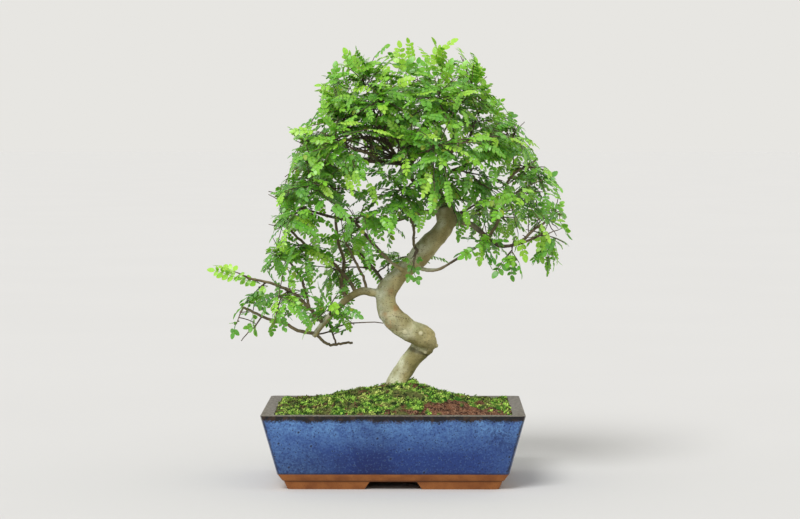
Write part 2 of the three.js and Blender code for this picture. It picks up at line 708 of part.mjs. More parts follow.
// True inside the crown's outline, so that no leaf sticks out of the tree's trimmed shape
function inCrown({ x, y, z }) {
  const above = CROWN.rows.findIndex(([height]) => height > z);
  if (above < 1 || Math.abs(y) > CROWN.halfDepth) return false;
  const [low, high] = [CROWN.rows[above - 1], CROWN.rows[above]];
  const share = (z - low[0]) / (high[0] - low[0]);
  const edge = (side) => THREE.MathUtils.lerp(low[side], high[side], share);
  return x > edge(1) && x < edge(2);
}

// A leaf where it has room: each try draws another direction, with a slightly smaller leaf
function leafWithRoom(name, at, draw) {
  for (let attempt = 0; attempt < LEAF.tries; attempt += 1) {
    const place = leafPlace(at.origin, at.outward, at.sideways, at.rise, draw);
    const tried = attempt / LEAF.tries;
    const shape = {
      length: draw(LEAF.shortest, LEAF.longest) * THREE.MathUtils.lerp(1, LEAF.leastSize, tried),
      pairs: at.pairs,
      arch: draw(0.002, 0.01),
      stalk: at.stalk * (1 - tried),
    };
    const tip = V(shape.stalk + shape.length, 0, 0).applyMatrix4(place);
    const room = solidOf(leafBlade(shape, LEAF.clear).applyMatrix4(place));
    if (inCrown(tip) && isClear(room, name)) return solidOf(leafBlade(shape).applyMatrix4(place));
  }
  throw new Error(`no room for a leaf of ${name}`);
}

// A spray has a leaf at the end of each side shoot, to the left and right in turn, and one at its tip
function makeSpray(name, stem, draw) {
  const [, , tip, rise, kind] = SPRAYS[name];
  const pairs = kind === 'shoot' ? 4 : 2;
  const reach = tip[2] > SHOOT_REACH.from ? SHOOT_REACH.high : SHOOT_REACH.low;
  const parts = [stem.solid];
  [...SIDE_SHOOTS, 1].forEach((share, k) => {
    const last = share === 1;
    const heading = stem.line.getTangent(share);
    const origin = stem.line.getPoint(share);
    if (last) origin.addScaledVector(heading, -1);
    const level = V(-heading.y, heading.x, 0);
    if (level.length() < 0.2) level.set(1, 0, 0);
    level.normalize().multiplyScalar(k % 2 ? 1 : -1);
    const sideways = last ? level.multiplyScalar(0.15) : level;
    const outward = last ? heading.multiplyScalar(1.6) : heading;
    const stalk = last || kind === 'shoot' ? 0 : reach;
    parts.push(leafWithRoom(name, { origin, outward, sideways, rise, pairs, stalk }, draw));
  });
  return join(parts);
}

const bonsai = new THREE.Group();
bonsai.name = 'japanese_pepper_bonsai';

const soil = makeSoil(trunkHole(TRUNK_CLEAR));
const moss = makeMoss(soil, trunkHole(MOSS.trunkClear));
const mossPatch = makeMossPatch(soil);
const tree = makeTree();
const draw = seededDraws(SEED);

bonsai.add(meshOf('tray', makeTray(), glaze));
bonsai.add(meshOf('drain_screen_left', makeScreen(-1), netting));
bonsai.add(meshOf('drain_screen_right', makeScreen(1), netting));
bonsai.add(meshOf('soil', soil, earth));
bonsai.add(meshOf('moss', moss, mossGreen));
bonsai.add(meshOf('moss_patch', mossPatch, mossGreen));
bonsai.add(meshOf('trunk', tree, bark));

block('trunk', tree);
const stems = {};
for (const name of Object.keys(SPRAYS)) {
  stems[name] = makeStem(name, draw);
  block(name, stems[name].solid);
}
for (const name of Object.keys(SPRAYS)) {
  const spray = makeSpray(name, stems[name], draw);
  block(name, spray);
  const colour = SPRAYS[name][4] === 'shoot' ? shootGreen : leafGreen;
  bonsai.add(meshOf(`spray_${name}`, spray, colour));
}

export default bonsai;
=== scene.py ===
# %% [markdown]
# A Japanese pepper bonsai in a blue glazed tray.
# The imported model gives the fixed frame: the tray, the soil, the moss, the trunk and the leafy sprays,
# each a plain solid at its real place. This lesson dresses them, one kind of thing at a time:
# wood first, then leaves, then the ground they grow from, then the tray, and last the light.
# Measures of the tree and its ground are in mm, and MM turns them into Blender's metres.
# The tree's front faces -Y.

# %% Load the frame
import json
import math
from types import SimpleNamespace

import bmesh
import bpy
import numpy as np
from mathutils import Matrix, Vector, noise

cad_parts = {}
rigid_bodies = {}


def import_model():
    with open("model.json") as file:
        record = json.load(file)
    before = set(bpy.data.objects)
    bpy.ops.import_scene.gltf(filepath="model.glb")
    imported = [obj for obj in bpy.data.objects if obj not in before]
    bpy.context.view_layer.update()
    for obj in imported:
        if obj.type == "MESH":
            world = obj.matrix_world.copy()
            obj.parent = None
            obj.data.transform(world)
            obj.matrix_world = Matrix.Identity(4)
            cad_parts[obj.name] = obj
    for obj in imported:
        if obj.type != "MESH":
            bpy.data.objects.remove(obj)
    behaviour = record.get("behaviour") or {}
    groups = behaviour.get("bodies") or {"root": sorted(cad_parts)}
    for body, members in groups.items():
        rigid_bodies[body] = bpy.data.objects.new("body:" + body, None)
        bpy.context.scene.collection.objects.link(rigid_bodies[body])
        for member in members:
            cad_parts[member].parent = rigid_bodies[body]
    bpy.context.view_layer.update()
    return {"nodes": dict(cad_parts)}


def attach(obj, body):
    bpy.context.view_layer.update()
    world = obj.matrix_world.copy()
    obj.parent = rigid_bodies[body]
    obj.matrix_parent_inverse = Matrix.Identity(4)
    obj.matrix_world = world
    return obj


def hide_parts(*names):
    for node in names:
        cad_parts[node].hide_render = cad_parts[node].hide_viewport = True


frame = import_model()
MM = 0.001
BODY = "root"

# %% [markdown]
# The camera comes first, so that every later piece can be looked at as the photograph shows it.
# The photograph was taken from nearly three metres away with a long lens, a little above the tray.
# Its place was worked out from the tray's corners, whose real places are known.

# %% Camera
# Its place in metres, its angles in radians, and its lens and sensor in mm
CAMERA_PLACE = (0.033, -2.88, 0.392)
CAMERA_DOWN = 0.0525
CAMERA_TURN = 0.0092
CAMERA_LENS = 119.3
SENSOR_WIDTH = 36
SEES_TO = 60

camera_data = bpy.data.cameras.new("camera")
camera_data.sensor_width = SENSOR_WIDTH
camera_data.lens = CAMERA_LENS
camera_data.clip_end = SEES_TO
camera = bpy.data.objects.new("camera", camera_data)
camera.location = CAMERA_PLACE
camera.rotation_euler = (math.pi / 2 - CAMERA_DOWN, 0, CAMERA_TURN)
bpy.context.collection.objects.link(camera)
bpy.context.scene.camera = camera
print("camera", CAMERA_LENS, "mm lens,", abs(CAMERA_PLACE[1]), "m in front")

# %% [markdown]
# A few small helpers serve every node tree in this lesson. One adds a node and fills or links its inputs.
# One stands for what a node puts out, so that plain arithmetic adds the math nodes. Another turns an
# object with a Geometry Nodes modifier into plain mesh data, because an exported model keeps meshes and
# drops modifiers' instances.


# %% Helpers for node trees
def put(tree, kind, inputs=None, **settings):
    """Adds a node, sets its properties, and fills or links its inputs by name or number."""
    made = tree.nodes.new(kind)
    for name, value in settings.items():
        setattr(made, name, value)
    for key, value in (inputs or {}).items():
        value = getattr(value, "socket", value)
        if isinstance(value, bpy.types.NodeSocket):
            tree.links.new(value, made.inputs[key])
        else:
            made.inputs[key].default_value = value
    return made


def flow(tree, kind, inputs=None, output=0, **settings):
    """Adds a node and returns one of the values that it puts out."""
    return Value(tree, put(tree, kind, inputs, **settings).outputs[output])


class Value:
    """What a node puts out. Arithmetic with it adds a math node."""

    def __init__(self, tree, socket):
        self.tree, self.socket = tree, socket

    def math(self, operation, other=0.0):
        return flow(self.tree, "ShaderNodeMath", {0: self, 1: other}, operation=operation)

    def __add__(self, other):
        return self.math("ADD", other)

    def __sub__(self, other):
        return self.math("SUBTRACT", other)

    def __mul__(self, other):
        return self.math("MULTIPLY", other)

    def __truediv__(self, other):
        return self.math("DIVIDE", other)

    def __abs__(self):
        return self.math("ABSOLUTE")

    def __rsub__(self, other):
        return flow(self.tree, "ShaderNodeMath", {0: other, 1: self}, operation="SUBTRACT")

    def ramp(self, start, end):
        """0 at start and 1 at end, whichever of them is higher."""
        return flow(self.tree, "ShaderNodeMapRange", {"Value": self, "From Min": start, "From Max": end})


def vector(tree, x=0.0, y=0.0, z=0.0):
    """Three numbers or values as one vector."""
    return flow(tree, "ShaderNodeCombineXYZ", {0: x, 1: y, 2: z})


def split(tree, whole):
    """A vector's three parts."""
    made = put(tree, "ShaderNodeSeparateXYZ", {0: whole})
    return [Value(tree, socket) for socket in made.outputs]


def attribute(tree, name, kind="FLOAT"):
    """In a Geometry Nodes tree, what each point or face holds under a name."""
    return flow(tree, "GeometryNodeInputNamedAttribute", {"Name": name}, data_type=kind)


def random_value(tree, low, high, seed):
    """In a Geometry Nodes tree, a number drawn anew for each point."""
    return flow(tree, "FunctionNodeRandomValue", {2: low, 3: high, "Seed": seed}, 1, data_type="FLOAT")


def swept(tree, curve, sides, girth):
    """A closed tube along a curve, in a Geometry Nodes tree."""
    ring = flow(tree, "GeometryNodeCurvePrimitiveCircle", {"Resolution": sides, "Radius": 1.0})
    inputs = {"Curve": curve, "Profile Curve": ring, "Scale": girth, "Fill Caps": True}
    return flow(tree, "GeometryNodeCurveToMesh", inputs)


def geometry_tree(name, **sockets):
    """A new Geometry Nodes tree with geometry in and out, and the named inputs."""
    tree = bpy.data.node_groups.new(name, "GeometryNodeTree")
    tree.interface.new_socket("Geometry", in_out="INPUT", socket_type="NodeSocketGeometry")
    for key, kind in sockets.items():
        tree.interface.new_socket(key, in_out="INPUT", socket_type="NodeSocket" + kind)
    tree.interface.new_socket("Geometry", in_out="OUTPUT", socket_type="NodeSocketGeometry")
    given = put(tree, "NodeGroupInput").outputs
    return tree, {socket.name: Value(tree, socket) for socket in given if socket.name}


def finish_tree(tree, geometry, material):
    """Ends a tree the same way each time: real geometry, one material, out."""
    real = flow(tree, "GeometryNodeRealizeInstances", {0: geometry})
    dressed = flow(tree, "GeometryNodeSetMaterial", {"Geometry": real, "Material": material})
    put(tree, "NodeGroupOutput", {0: dressed})
    return tree


# %% Helpers for meshes
def new_mesh(name, corners, faces, edges=()):
    """A mesh from lists of corners in metres and of the corners of each face."""
    mesh = bpy.data.meshes.new(name)
    mesh.from_pydata([tuple(c) for c in corners], list(edges), [tuple(f) for f in faces])
    mesh.update()
    return mesh


def show(name, mesh, *materials):
    """Links a mesh into the scene as an object at the origin."""
    piece = bpy.data.objects.new(name, mesh)
    for material in materials:
        mesh.materials.append(material)
    bpy.context.collection.objects.link(piece)
    return piece


def set_attribute(mesh, name, values, kind="FLOAT"):
    """Stores one value or row of values for each point of a mesh."""
    layer = mesh.attributes.new(name, kind, "POINT")
    numbers = np.int32 if kind == "INT" else np.float32
    layer.data.foreach_set("value", np.asarray(values, dtype=numbers).ravel())


def plain_mesh(worker, name):
    """The finished mesh of an object with modifiers. The object itself goes."""
    bpy.context.view_layer.update()
    graph = bpy.context.evaluated_depsgraph_get()
    made = bpy.data.meshes.new_from_object(worker.evaluated_get(graph))
    made.name = name
    bpy.data.objects.remove(worker)
    return made


def grow(name, seed_mesh, tree, **inputs):
    """Runs a Geometry Nodes tree on a mesh and returns the result as plain mesh data."""
    worker = show(name + "_grow", seed_mesh)
    modifier = worker.modifiers.new("grow", "NODES")
    modifier.node_group = tree
    for item in tree.interface.items_tree:
        if item.item_type == "SOCKET" and item.in_out == "INPUT" and item.name in inputs:
            modifier[item.identifier] = inputs[item.name]
    return plain_mesh(worker, name)


def merge(name, meshes, *materials):
    """Joins plain meshes into one object, with the given materials in their slots."""
    box = bmesh.new()
    for mesh in meshes:
        box.from_mesh(mesh)
    whole = bpy.data.meshes.new(name)
    box.to_mesh(whole)
    box.free()
    whole.materials.clear()
    return show(name, whole, *materials)


print("helpers ready")

# %% [markdown]
# Finishes. Nearly every natural surface here is one colour broken by patches of another, at some scale.
# That effect is a shader node group, built once: it turns the object's own coordinates into a soft mask.
# Each material places the group with its own scale and limits, and mixes its own colours by it.


# %% Shader group: patches
def patches_group():
    """Noise on the object's own coordinates, cut to a soft mask between two limits."""
    group = bpy.data.node_groups.new("patches", "ShaderNodeTree")
    for name in ("Scale", "Detail", "From", "To", "Stretch"):
        group.interface.new_socket(name, in_out="INPUT", socket_type="NodeSocketFloat")
    group.interface.new_socket("Mask", in_out="OUTPUT", socket_type="NodeSocketFloat")
    given = put(group, "NodeGroupInput").outputs
    where = put(group, "ShaderNodeTexCoord").outputs["Object"]
    shape = vector(group, 1.0, 1.0, given["Stretch"])
    scaled = flow(group, "ShaderNodeVectorMath", {0: where, 1: shape}, operation="MULTIPLY")
    inputs = {"Vector": scaled, "Scale": given["Scale"], "Detail": given["Detail"]}
    cloud = flow(group, "ShaderNodeTexNoise", inputs)
    limits = {"Value": cloud, "From Min": given["From"], "From Max": given["To"]}
    mask = flow(group, "ShaderNodeMapRange", limits, interpolation_type="SMOOTHSTEP")
    put(group, "NodeGroupOutput", {0: mask})
    return group


PATCHES = patches_group()
print("shader group ready:", PATCHES.name)


# %% What every finish can do
def blend(mask, first, second):
    """The first colour where the mask is 0 and the second where it is 1."""
    first, second = ((*colour, 1) if isinstance(colour, tuple) else colour for colour in (first, second))
    return flow(mask.tree, "ShaderNodeMix", {0: mask, 6: first, 7: second}, 2, data_type="RGBA")


class Finish:
    """A material with its Principled shader. Fixed values are set on the shader itself."""

    def __init__(self, name, **sockets):
        self.material = bpy.data.materials.new(name)
        self.material.use_nodes = True
        self.tree = self.material.node_tree
        self.shader = self.tree.nodes["Principled BSDF"]
        for key, value in sockets.items():
            self.socket(key).default_value = value

    def socket(self, key):
        """The shader's input under its name in lower case."""
        return self.shader.inputs[key.replace("_", " ").title().replace("Ior", "IOR")]

    def use(self, **sockets):
        """Links computed colours, masks and normals to the shader."""
        for key, value in sockets.items():
            self.tree.links.new(value.socket, self.socket(key))

    def patches(self, scale, low, high, detail=3.0, stretch=1.0):
        """The patches group's mask, with its noise counted as 0 up to low and 1 from high."""
        values = {"Scale": scale, "Detail": detail, "From": low, "To": high, "Stretch": stretch}
        return flow(self.tree, "ShaderNodeGroup", values, node_tree=PATCHES)

    def stored(self, name):
        """What the mesh holds under a name."""
        return flow(self.tree, "ShaderNodeAttribute", output="Fac", attribute_name=name)

    def bumped(self, height, strength, distance):
        """The normal of a surface that a mask raises by a distance in metres."""
        inputs = {"Height": height, "Strength": strength, "Distance": distance}
        return flow(self.tree, "ShaderNodeBump", inputs)


print("a finish starts from the Principled shader")

# %% [markdown]
# Bark. Old wood of this tree is smooth and pale, with beige and olive patches and fine raised pores. Its
# side that faces up and to the left is painted pale grey as painted light, and its right side and underside
# warm brown as painted shade. Young wood is dark brown. One material serves both: an attribute named age,
# 1 on the trunk and falling to 0 on twigs, mixes the two. Other attributes say which side is painted lit,
# where the wood is rusty, where shade is painted in its creases, and where a wound has healed.


# %% Finish: bark
def make_bark():
    bark = Finish("bark", roughness=0.72, specular_ior_level=0.3)
    patches, stored = bark.patches, bark.stored
    # Painted light and shade: pale is the bark's colour on its lit side and warm on its shaded side, mixed by
    # which way the surface faces, with random patches
    pale = blend(patches(90, 0.4, 0.62), (0.6, 0.61, 0.43), (0.43, 0.43, 0.25))
    warm = blend(patches(75, 0.4, 0.62), (0.46, 0.4, 0.19), (0.3, 0.25, 0.1))
    lit = stored("painted_lit_side") + patches(45, 0.3, 0.7) * 0.4
    both = blend(lit.ramp(0.35, 0.8), warm, pale)
    olive = blend(patches(32, 0.5, 0.66, stretch=0.6), both, (0.24, 0.21, 0.08))
    blush = blend(patches(26, 0.6, 0.74), olive, (0.38, 0.22, 0.09))
    stain = patches(240, 0.4, 0.6) * 0.34 + 0.1
    rusty = blend(stored("rust") * stain, blush, (0.5, 0.24, 0.1))
    pores = patches(520, 0.6, 0.7, detail=1.0, stretch=1.8)
    pored = blend(pores * 0.8, rusty, (0.13, 0.11, 0.05))
    # Painted shade: near black in the crease under the lower bend and in two cracks above it
    shaded_in_creases = blend(stored("painted_crease_shade") * 0.6, pored, (0.05, 0.042, 0.02))
    old = blend(stored("healed") * 0.75, shaded_in_creases, (0.66, 0.62, 0.4))
    young = blend(patches(160, 0.4, 0.65), (0.07, 0.05, 0.033), (0.15, 0.115, 0.07))
    relief = bark.bumped(patches(650, 0.3, 0.7, detail=4.0), 0.35, 0.0005)
    bark.use(base_color=blend(stored("age"), young, old), normal=relief)
    return bark.material


BARK = make_bark()
print("bark ready")

# %% [markdown]
# Leaves. The leaflets are a clear mid green, yellower where they are young, a little glossy, and light
# shines through them. Each compound leaf carries its own tint, each leaflet differs a little from its
# neighbours, and both come from attributes, so that the pattern stays on the leaf wherever it goes.
# A very few leaflets have turned golden, as on any tree that stands outside.

# %% Finish: leaves
# From the shaded leaves of the crown's inside to the newest shoots
LEAF_GREENS = [
    (0.0, (0.012, 0.09, 0.014)),
    (0.35, (0.055, 0.27, 0.018)),
    (0.65, (0.17, 0.5, 0.026)),
    (1.0, (0.34, 0.66, 0.045)),
]
GOLDEN_FROM = 0.994


def make_leaf_finish():
    leaf = Finish(
        "leaf", roughness=0.36, specular_ior_level=0.5, subsurface_weight=0.3, subsurface_scale=0.002,
        subsurface_radius=(0.45, 1.0, 0.12),
    )
    ramp = put(leaf.tree, "ShaderNodeValToRGB", {0: leaf.stored("tint")})
    stops = ramp.color_ramp.elements
    while len(stops) < len(LEAF_GREENS):
        stops.new(0.5)
    for stop, (place, colour) in zip(stops, LEAF_GREENS):
        stop.position = place
        stop.color = (*colour, 1)
    own = leaf.stored("leaflet")
    paler = blend(own * 0.22, ramp.outputs[0], (0.22, 0.42, 0.03))
    golden = blend(own.ramp(GOLDEN_FROM, GOLDEN_FROM + 0.003) * 0.8, paler, (0.5, 0.3, 0.03))
    veined = blend(leaf.stored("rib") * 0.16, golden, (0.36, 0.5, 0.12))
    speckle = leaf.patches(900, 0.35, 0.7)
    colour = blend(speckle * 0.2, veined, (0.02, 0.09, 0.012))
    leaf.use(base_color=colour, normal=leaf.bumped(speckle, 0.2, 0.0002))
    return leaf.material


LEAF = make_leaf_finish()
print("leaf ready")

# %% [markdown]
# The tree's wood. The real tree grew as one piece, so its lines are one list: each branch is a smooth
# line through a few points, measured from the photograph and carried over from the solid model. The
# sprays' own lines start on those branches, at the same places as in the solid model.

# %% Lines of the wood
# The trunk below its sharp bend and above it: the points of its line, and its radii along it
TRUNK_LOW = (
    [(-3, 3, 44), (-1, 2, 72), (2, 2, 95), (6, 2, 111), (14, 4, 125), (24, 5, 137), (35, 2, 148)],
    [15, 15.5, 13, 10.6, 9.8, 10.8, 11.8],
)
TRUNK_HIGH = (
    [(46, 1, 151), (41, 0, 151), (30, -6, 158), (16, -11, 165), (2, -12, 175), (-5, -11, 184),
     (-9, -9, 195), (-8, -7, 206), (-2, -5, 216), (7, -3, 225), (15, -1, 232), (24, 1, 240),
     (33, 2, 251), (41, 3, 260), (50, 4, 269), (56, 5, 278), (57, 6, 289), (56, 6, 298)],
    [5, 10.6, 12.8, 11.4, 11.4, 11.3, 11.4, 10.6, 10.3, 9.6, 9.6, 10.8, 12.4, 11.2, 10.4, 9.8, 11.6, 10],
)
# Each branch: its radius at its foot and its end, and the points of its line
BRANCHES = {
    "first_limb": ((4.6, 3), [(-9, -9, 202), (-21, -10, 205), (-35, -15, 207), (-49, -21, 200),
        (-62, -26, 188), (-75, -28, 174), (-87, -30, 159)]),
    "low_left": ((2, 1.3), [(-84, -30, 162), (-103, -36, 166), (-117, -40, 174), (-134, -44, 179),
        (-161, -50, 192)]),
    "low_right": ((1.7, 1.3), [(-84, -30, 162), (-71, -24, 150), (-58, -18, 150), (-45, -13, 151)]),
    "left_mid": ((2.4, 1.3), [(-77, -28, 174), (-97, -42, 197), (-109, -48, 208), (-124, -54, 216),
        (-155, -62, 224)]),
    "left_inner": ((1.7, 1.3), [(-90, -37, 188), (-95, -34, 208), (-101, -32, 225), (-112, -30, 239)]),
    "left_up": ((2.2, 1.3), [(-40, -17, 205), (-50, -14, 220), (-68, -8, 239), (-90, -10, 253),
        (-115, -14, 275)]),
    "limb_top_twig": ((1.7, 1.3), [(-29, -13, 205), (-33, -16, 222), (-45, -20, 246), (-53, -24, 263)]),
    "riser": ((2.2, 1.3), [(-50, -21, 198), (-57, -12, 213), (-54, -2, 238), (-61, 6, 261), (-63, 8, 294),
        (-59, 6, 311)]),
    "second_limb": ((2.2, 1.3), [(13, -9, 228), (-2, -22, 238), (-22, -31, 259), (-41, -38, 282),
        (-63, -46, 303), (-76, -50, 311)]),
    "right_low": ((2.4, 1.3), [(20, -3, 233), (37, -12, 230), (48, -18, 231), (67, -28, 242),
        (85, -32, 253)]),
    "front_twig": ((1.7, 1.3), [(28, -4, 246), (22, -16, 258), (21, -20, 278), (11, -22, 303)]),
    "left_level": ((2.5, 1.3), [(52, 4, 291), (33, 0, 292), (-1, -8, 283), (-24, -14, 281), (-63, -24, 287),
        (-95, -32, 296), (-113, -36, 300)]),
    "right_thick": ((3.2, 1.3), [(58, 5, 279), (81, 0, 280), (98, -16, 268), (114, -30, 257),
        (136, -36, 260), (162, -38, 271)]),
    "leader": ((3.8, 1.5), [(56, 6, 292), (51, 10, 310), (47, 12, 327), (51, 14, 343), (65, 12, 376),
        (66, 6, 410)]),
    "left_leader": ((3.2, 1.3), [(53, 6, 294), (41, 4, 307), (28, 0, 318), (4, -12, 351), (-15, -18, 383),
        (-21, -18, 401)]),
    "big_left": ((2.6, 1.3), [(7, -11, 346), (-15, -18, 347), (-37, -26, 350), (-72, -38, 361),
        (-87, -42, 364)]),
    "right_upper": ((2.2, 1.3), [(48, 12, 325), (60, 8, 335), (93, -6, 349), (123, -12, 364)]),
    "right_mid": ((1.9, 1.3), [(102, -20, 265), (114, -18, 285), (118, -14, 302), (124, -6, 327),
        (137, 0, 339)]),
    "right_far": ((1.7, 1.3), [(136, -36, 260), (150, -32, 274), (163, -28, 283)]),
    "back_low": ((2.6, 1.3), [(-6, -2, 207), (-12, 30, 214), (-22, 58, 226), (-34, 84, 238)]),
    "back_mid": ((2.8, 1.3), [(52, 8, 270), (54, 26, 276), (62, 50, 284), (84, 92, 294)]),
    "back_high": ((2.4, 1.3), [(50, 14, 340), (44, 34, 350), (34, 60, 360), (22, 86, 366)]),
    "back_right": ((2.4, 1.3), [(56, 14, 352), (76, 34, 368), (96, 54, 374), (112, 70, 376)]),
    "back_left": ((2.2, 1.3), [(-4, -14, 366), (-20, 10, 372), (-44, 36, 372), (-66, 60, 366)]),
    "front_high": ((2.2, 1.3), [(15, -6, 336), (22, -34, 350), (30, -60, 358), (38, -84, 360)]),
    "front_left": ((2, 1.3), [(-15, -18, 347), (-26, -50, 356), (-40, -80, 360)]),
}

# Each spray: its branch, how far along, its stem's tip, how far its leaves rise, and its leaf count
SPRAYS = {
    "far_left_shoot": ("left_mid", 1, (-170, -64, 231), 0.1, 3),
    "low_left_tip": ("low_left", 1, (-168, -54, 174), -0.5, 1),
    "low_left_upright": ("low_left", 0.5, (-126, -30, 202), 0.1, 3),
    "left_hanging": ("left_mid", 0.8, (-152, -50, 203), -0.2, 4),
    "left_front": ("left_mid", 0.5, (-122, -88, 204), -0.2, 11),
    "left_inner_tip": ("left_inner", 1, (-128, -34, 252), 0, 14),
    "limb_front": ("first_limb", 0.72, (-66, -66, 198), -0.2, 9),
    "limb_end": ("low_right", 0.6, (-74, -20, 182), 0, 6),
    "left_up_tip": ("left_up", 1, (-122, -16, 286), 0.1, 14),
    "left_up_front": ("left_up", 0.7, (-104, -46, 258), -0.1, 11),
    "limb_top_tip": ("limb_top_twig", 1, (-54, -54, 272), -0.1, 9),
    "back_low_tip": ("back_low", 1, (-52, 99, 252), -0.1, 12),
    "back_low_side": ("back_low", 0.6, (10, 72, 240), -0.1, 10),
    "back_low_left": ("back_low", 0.7, (-70, 70, 226), -0.2, 12),
    "left_level_tip": ("left_level", 1, (-122, -34, 313), 0, 12),
    "left_level_front": ("left_level", 0.86, (-104, -74, 292), -0.2, 9),
    "second_limb_tip": ("second_limb", 1, (-92, -74, 326), 0, 11),
    "second_limb_front": ("second_limb", 0.65, (-28, -78, 292), -0.2, 10),
    "riser_tip": ("riser", 1, (-84, 16, 330), 0.1, 10),
    "big_left_tip": ("big_left", 1, (-98, -44, 371), 0.1, 18),
    "big_left_low": ("big_left", 0.9, (-101, -22, 341), -0.1, 13),
    "big_left_mid": ("big_left", 0.6, (-60, 0, 408), 0.3, 20),
    "back_left_tip": ("back_left", 1, (-98, 74, 356), -0.1, 11),
    "back_left_top": ("back_left", 0.6, (-58, 34, 416), 0.3, 23),
    "left_leader_tip": ("left_leader", 1, (-34, -20, 436), 0.5, 18),
    "left_leader_left": ("left_leader", 0.85, (-68, -30, 409), 0.3, 20),
    "left_leader_front": ("left_leader", 0.85, (-14, -62, 416), 0.2, 22),
    "front_left_tip": ("front_left", 1, (-62, -94, 372), -0.1, 18),
    "leader_tip": ("leader", 1, (50, 2, 453), 1.4, 8),
    "leader_left": ("left_leader", 0.95, (4, 0, 443), 1.4, 8),
    "leader_right": ("leader", 0.95, (88, -4, 430), 0.4, 20),
    "leader_front": ("leader", 0.85, (44, -54, 416), 0.2, 26),
    "leader_back": ("leader", 0.9, (24, 52, 420), 0.3, 25),
    "back_high_tip": ("back_high", 1, (8, 102, 384), 0, 22),
    "back_right_tip": ("back_right", 1, (134, 82, 370), -0.1, 12),
    "back_right_top": ("back_right", 0.5, (98, 52, 412), 0.3, 20),
    "right_upper_tip": ("right_upper", 1, (133, -14, 382), 0.2, 15),
    "right_upper_front": ("right_upper", 0.7, (100, -58, 376), 0, 14),
    "front_high_tip": ("front_high", 1, (52, -101, 366), -0.1, 18),
    "front_high_mid": ("front_high", 0.5, (8, -70, 376), 0.1, 20),
    "right_mid_tip": ("right_mid", 1, (156, 10, 340), 0, 12),
    "right_mid_front": ("right_mid", 0.5, (136, -56, 316), -0.1, 10),
    "right_far_tip": ("right_far", 1, (176, 2, 292), 0, 9),
    "right_thick_tip": ("right_thick", 1, (168, -34, 264), -0.4, 8),
    "right_hanging": ("right_thick", 0.7, (127, -46, 250), -0.9, 2),
    "right_low_tip": ("right_low", 1, (104, -44, 264), -0.3, 6),
    "back_mid_tip": ("back_mid", 1, (110, 100, 304), -0.1, 10),
    "back_mid_side": ("back_mid", 0.6, (124, 56, 284), -0.2, 10),
    "stub_front": ("leader", 0.2, (56, -46, 332), -0.1, 14),
    "stub_right": ("right_upper", 0.3, (94, -40, 322), -0.2, 14),
    "front_twig_tip": ("front_twig", 1, (6, -48, 322), 0, 18),
    "front_twig_low": ("front_twig", 0.2, (26, -40, 248), -0.8, 0),
}
print(len(BRANCHES), "branches,", len(SPRAYS), "sprays")


# %% Smooth lines
KNOT_STEPS = 12
SPRAY_STEPS = 18
# Of a spray's steps, its wood ends before the first number and its green stem starts at the second
WOOD_END, GREEN_START = 8, 6


def clamp(value):
    """Cut off below 0 and above 1."""
    return min(1.0, max(0.0, value))


def unit(way):
    """The same direction, with length 1."""
    return way / max(1e-9, np.linalg.norm(way))


def spline(points, count):
    """Evenly spaced places on a smooth line through the points, and each one's share of the way.

    The line is a centripetal Catmull-Rom line, which makes no loops where points lie close together.
    """
    knots = [np.array(p, dtype=float) for p in points]
    knots = [2 * knots[0] - knots[1], *knots, 2 * knots[-1] - knots[-2]]
    places = []
    for before, a, b, after in zip(knots, knots[1:], knots[2:], knots[3:]):
        gaps = [max(1e-6, np.linalg.norm(q - p) ** 0.5) for p, q in ((before, a), (a, b), (b, after))]
        leave = (a - before) / gaps[0] - (b - before) / (gaps[0] + gaps[1]) + (b - a) / gaps[1]
        reach = (b - a) / gaps[1] - (after - a) / (gaps[1] + gaps[2]) + (after - b) / gaps[2]
        u, v = leave * gaps[1], reach * gaps[1]
        for t in np.linspace(0, 1, KNOT_STEPS, endpoint=False):
            places.append(a + u * t + (3 * (b - a) - 2 * u - v) * t**2 + (2 * (a - b) + u + v) * t**3)
    places.append(knots[-2])
    places = np.array(places)
    run = np.concatenate([[0], np.cumsum(np.linalg.norm(np.diff(places, axis=0), axis=1))])
    wanted = np.linspace(0, run[-1], count)
    even = np.stack([np.interp(wanted, run, places[:, k]) for k in range(3)], axis=1)
    return even, np.interp(wanted, run, np.linspace(0, 1, len(places)))


def arched(start, pull, end, count):
    """A line from start to end that bends toward a third place."""
    t = np.linspace(0, 1, count)[:, None]
    return (1 - t) ** 2 * start + 2 * t * (1 - t) * pull + t**2 * end


def spray_line(branch, share, tip):
    """The arched line from a branch to a spray's tip. The first part of it is wood."""
    along, _ = spline(BRANCHES[branch][1], 101)
    root, end = along[round(share * 100)], np.array(tip, dtype=float)
    bow = np.array([0, 0, 0.1 * np.linalg.norm(end - root)])
    return arched(root, (root + end) / 2 + bow, end, SPRAY_STEPS)


print("a spray's line:", spray_line(*SPRAYS["leader_tip"][:3])[-1], "mm at its tip")

# %% [markdown]
# The trunk and its thick limbs. Where limbs leave a trunk the bark runs on without a seam, so tubes
# that only cross would look wrong. The tubes are laid over each other, and a voxel remesh melts them
# into one skin. Smoothing rounds the joints, and noise along the normals gives the bark its low swells.

# %% Trunk and thick limbs
TRUNK_SIDES, LIMB_SIDES = 28, 14
THICK = ("first_limb", "second_limb", "right_low", "left_level", "right_thick", "leader", "left_leader",
         "big_left", "back_low", "back_mid")
VOXEL = 0.95 * MM
SWELL_SCALE = 0.055


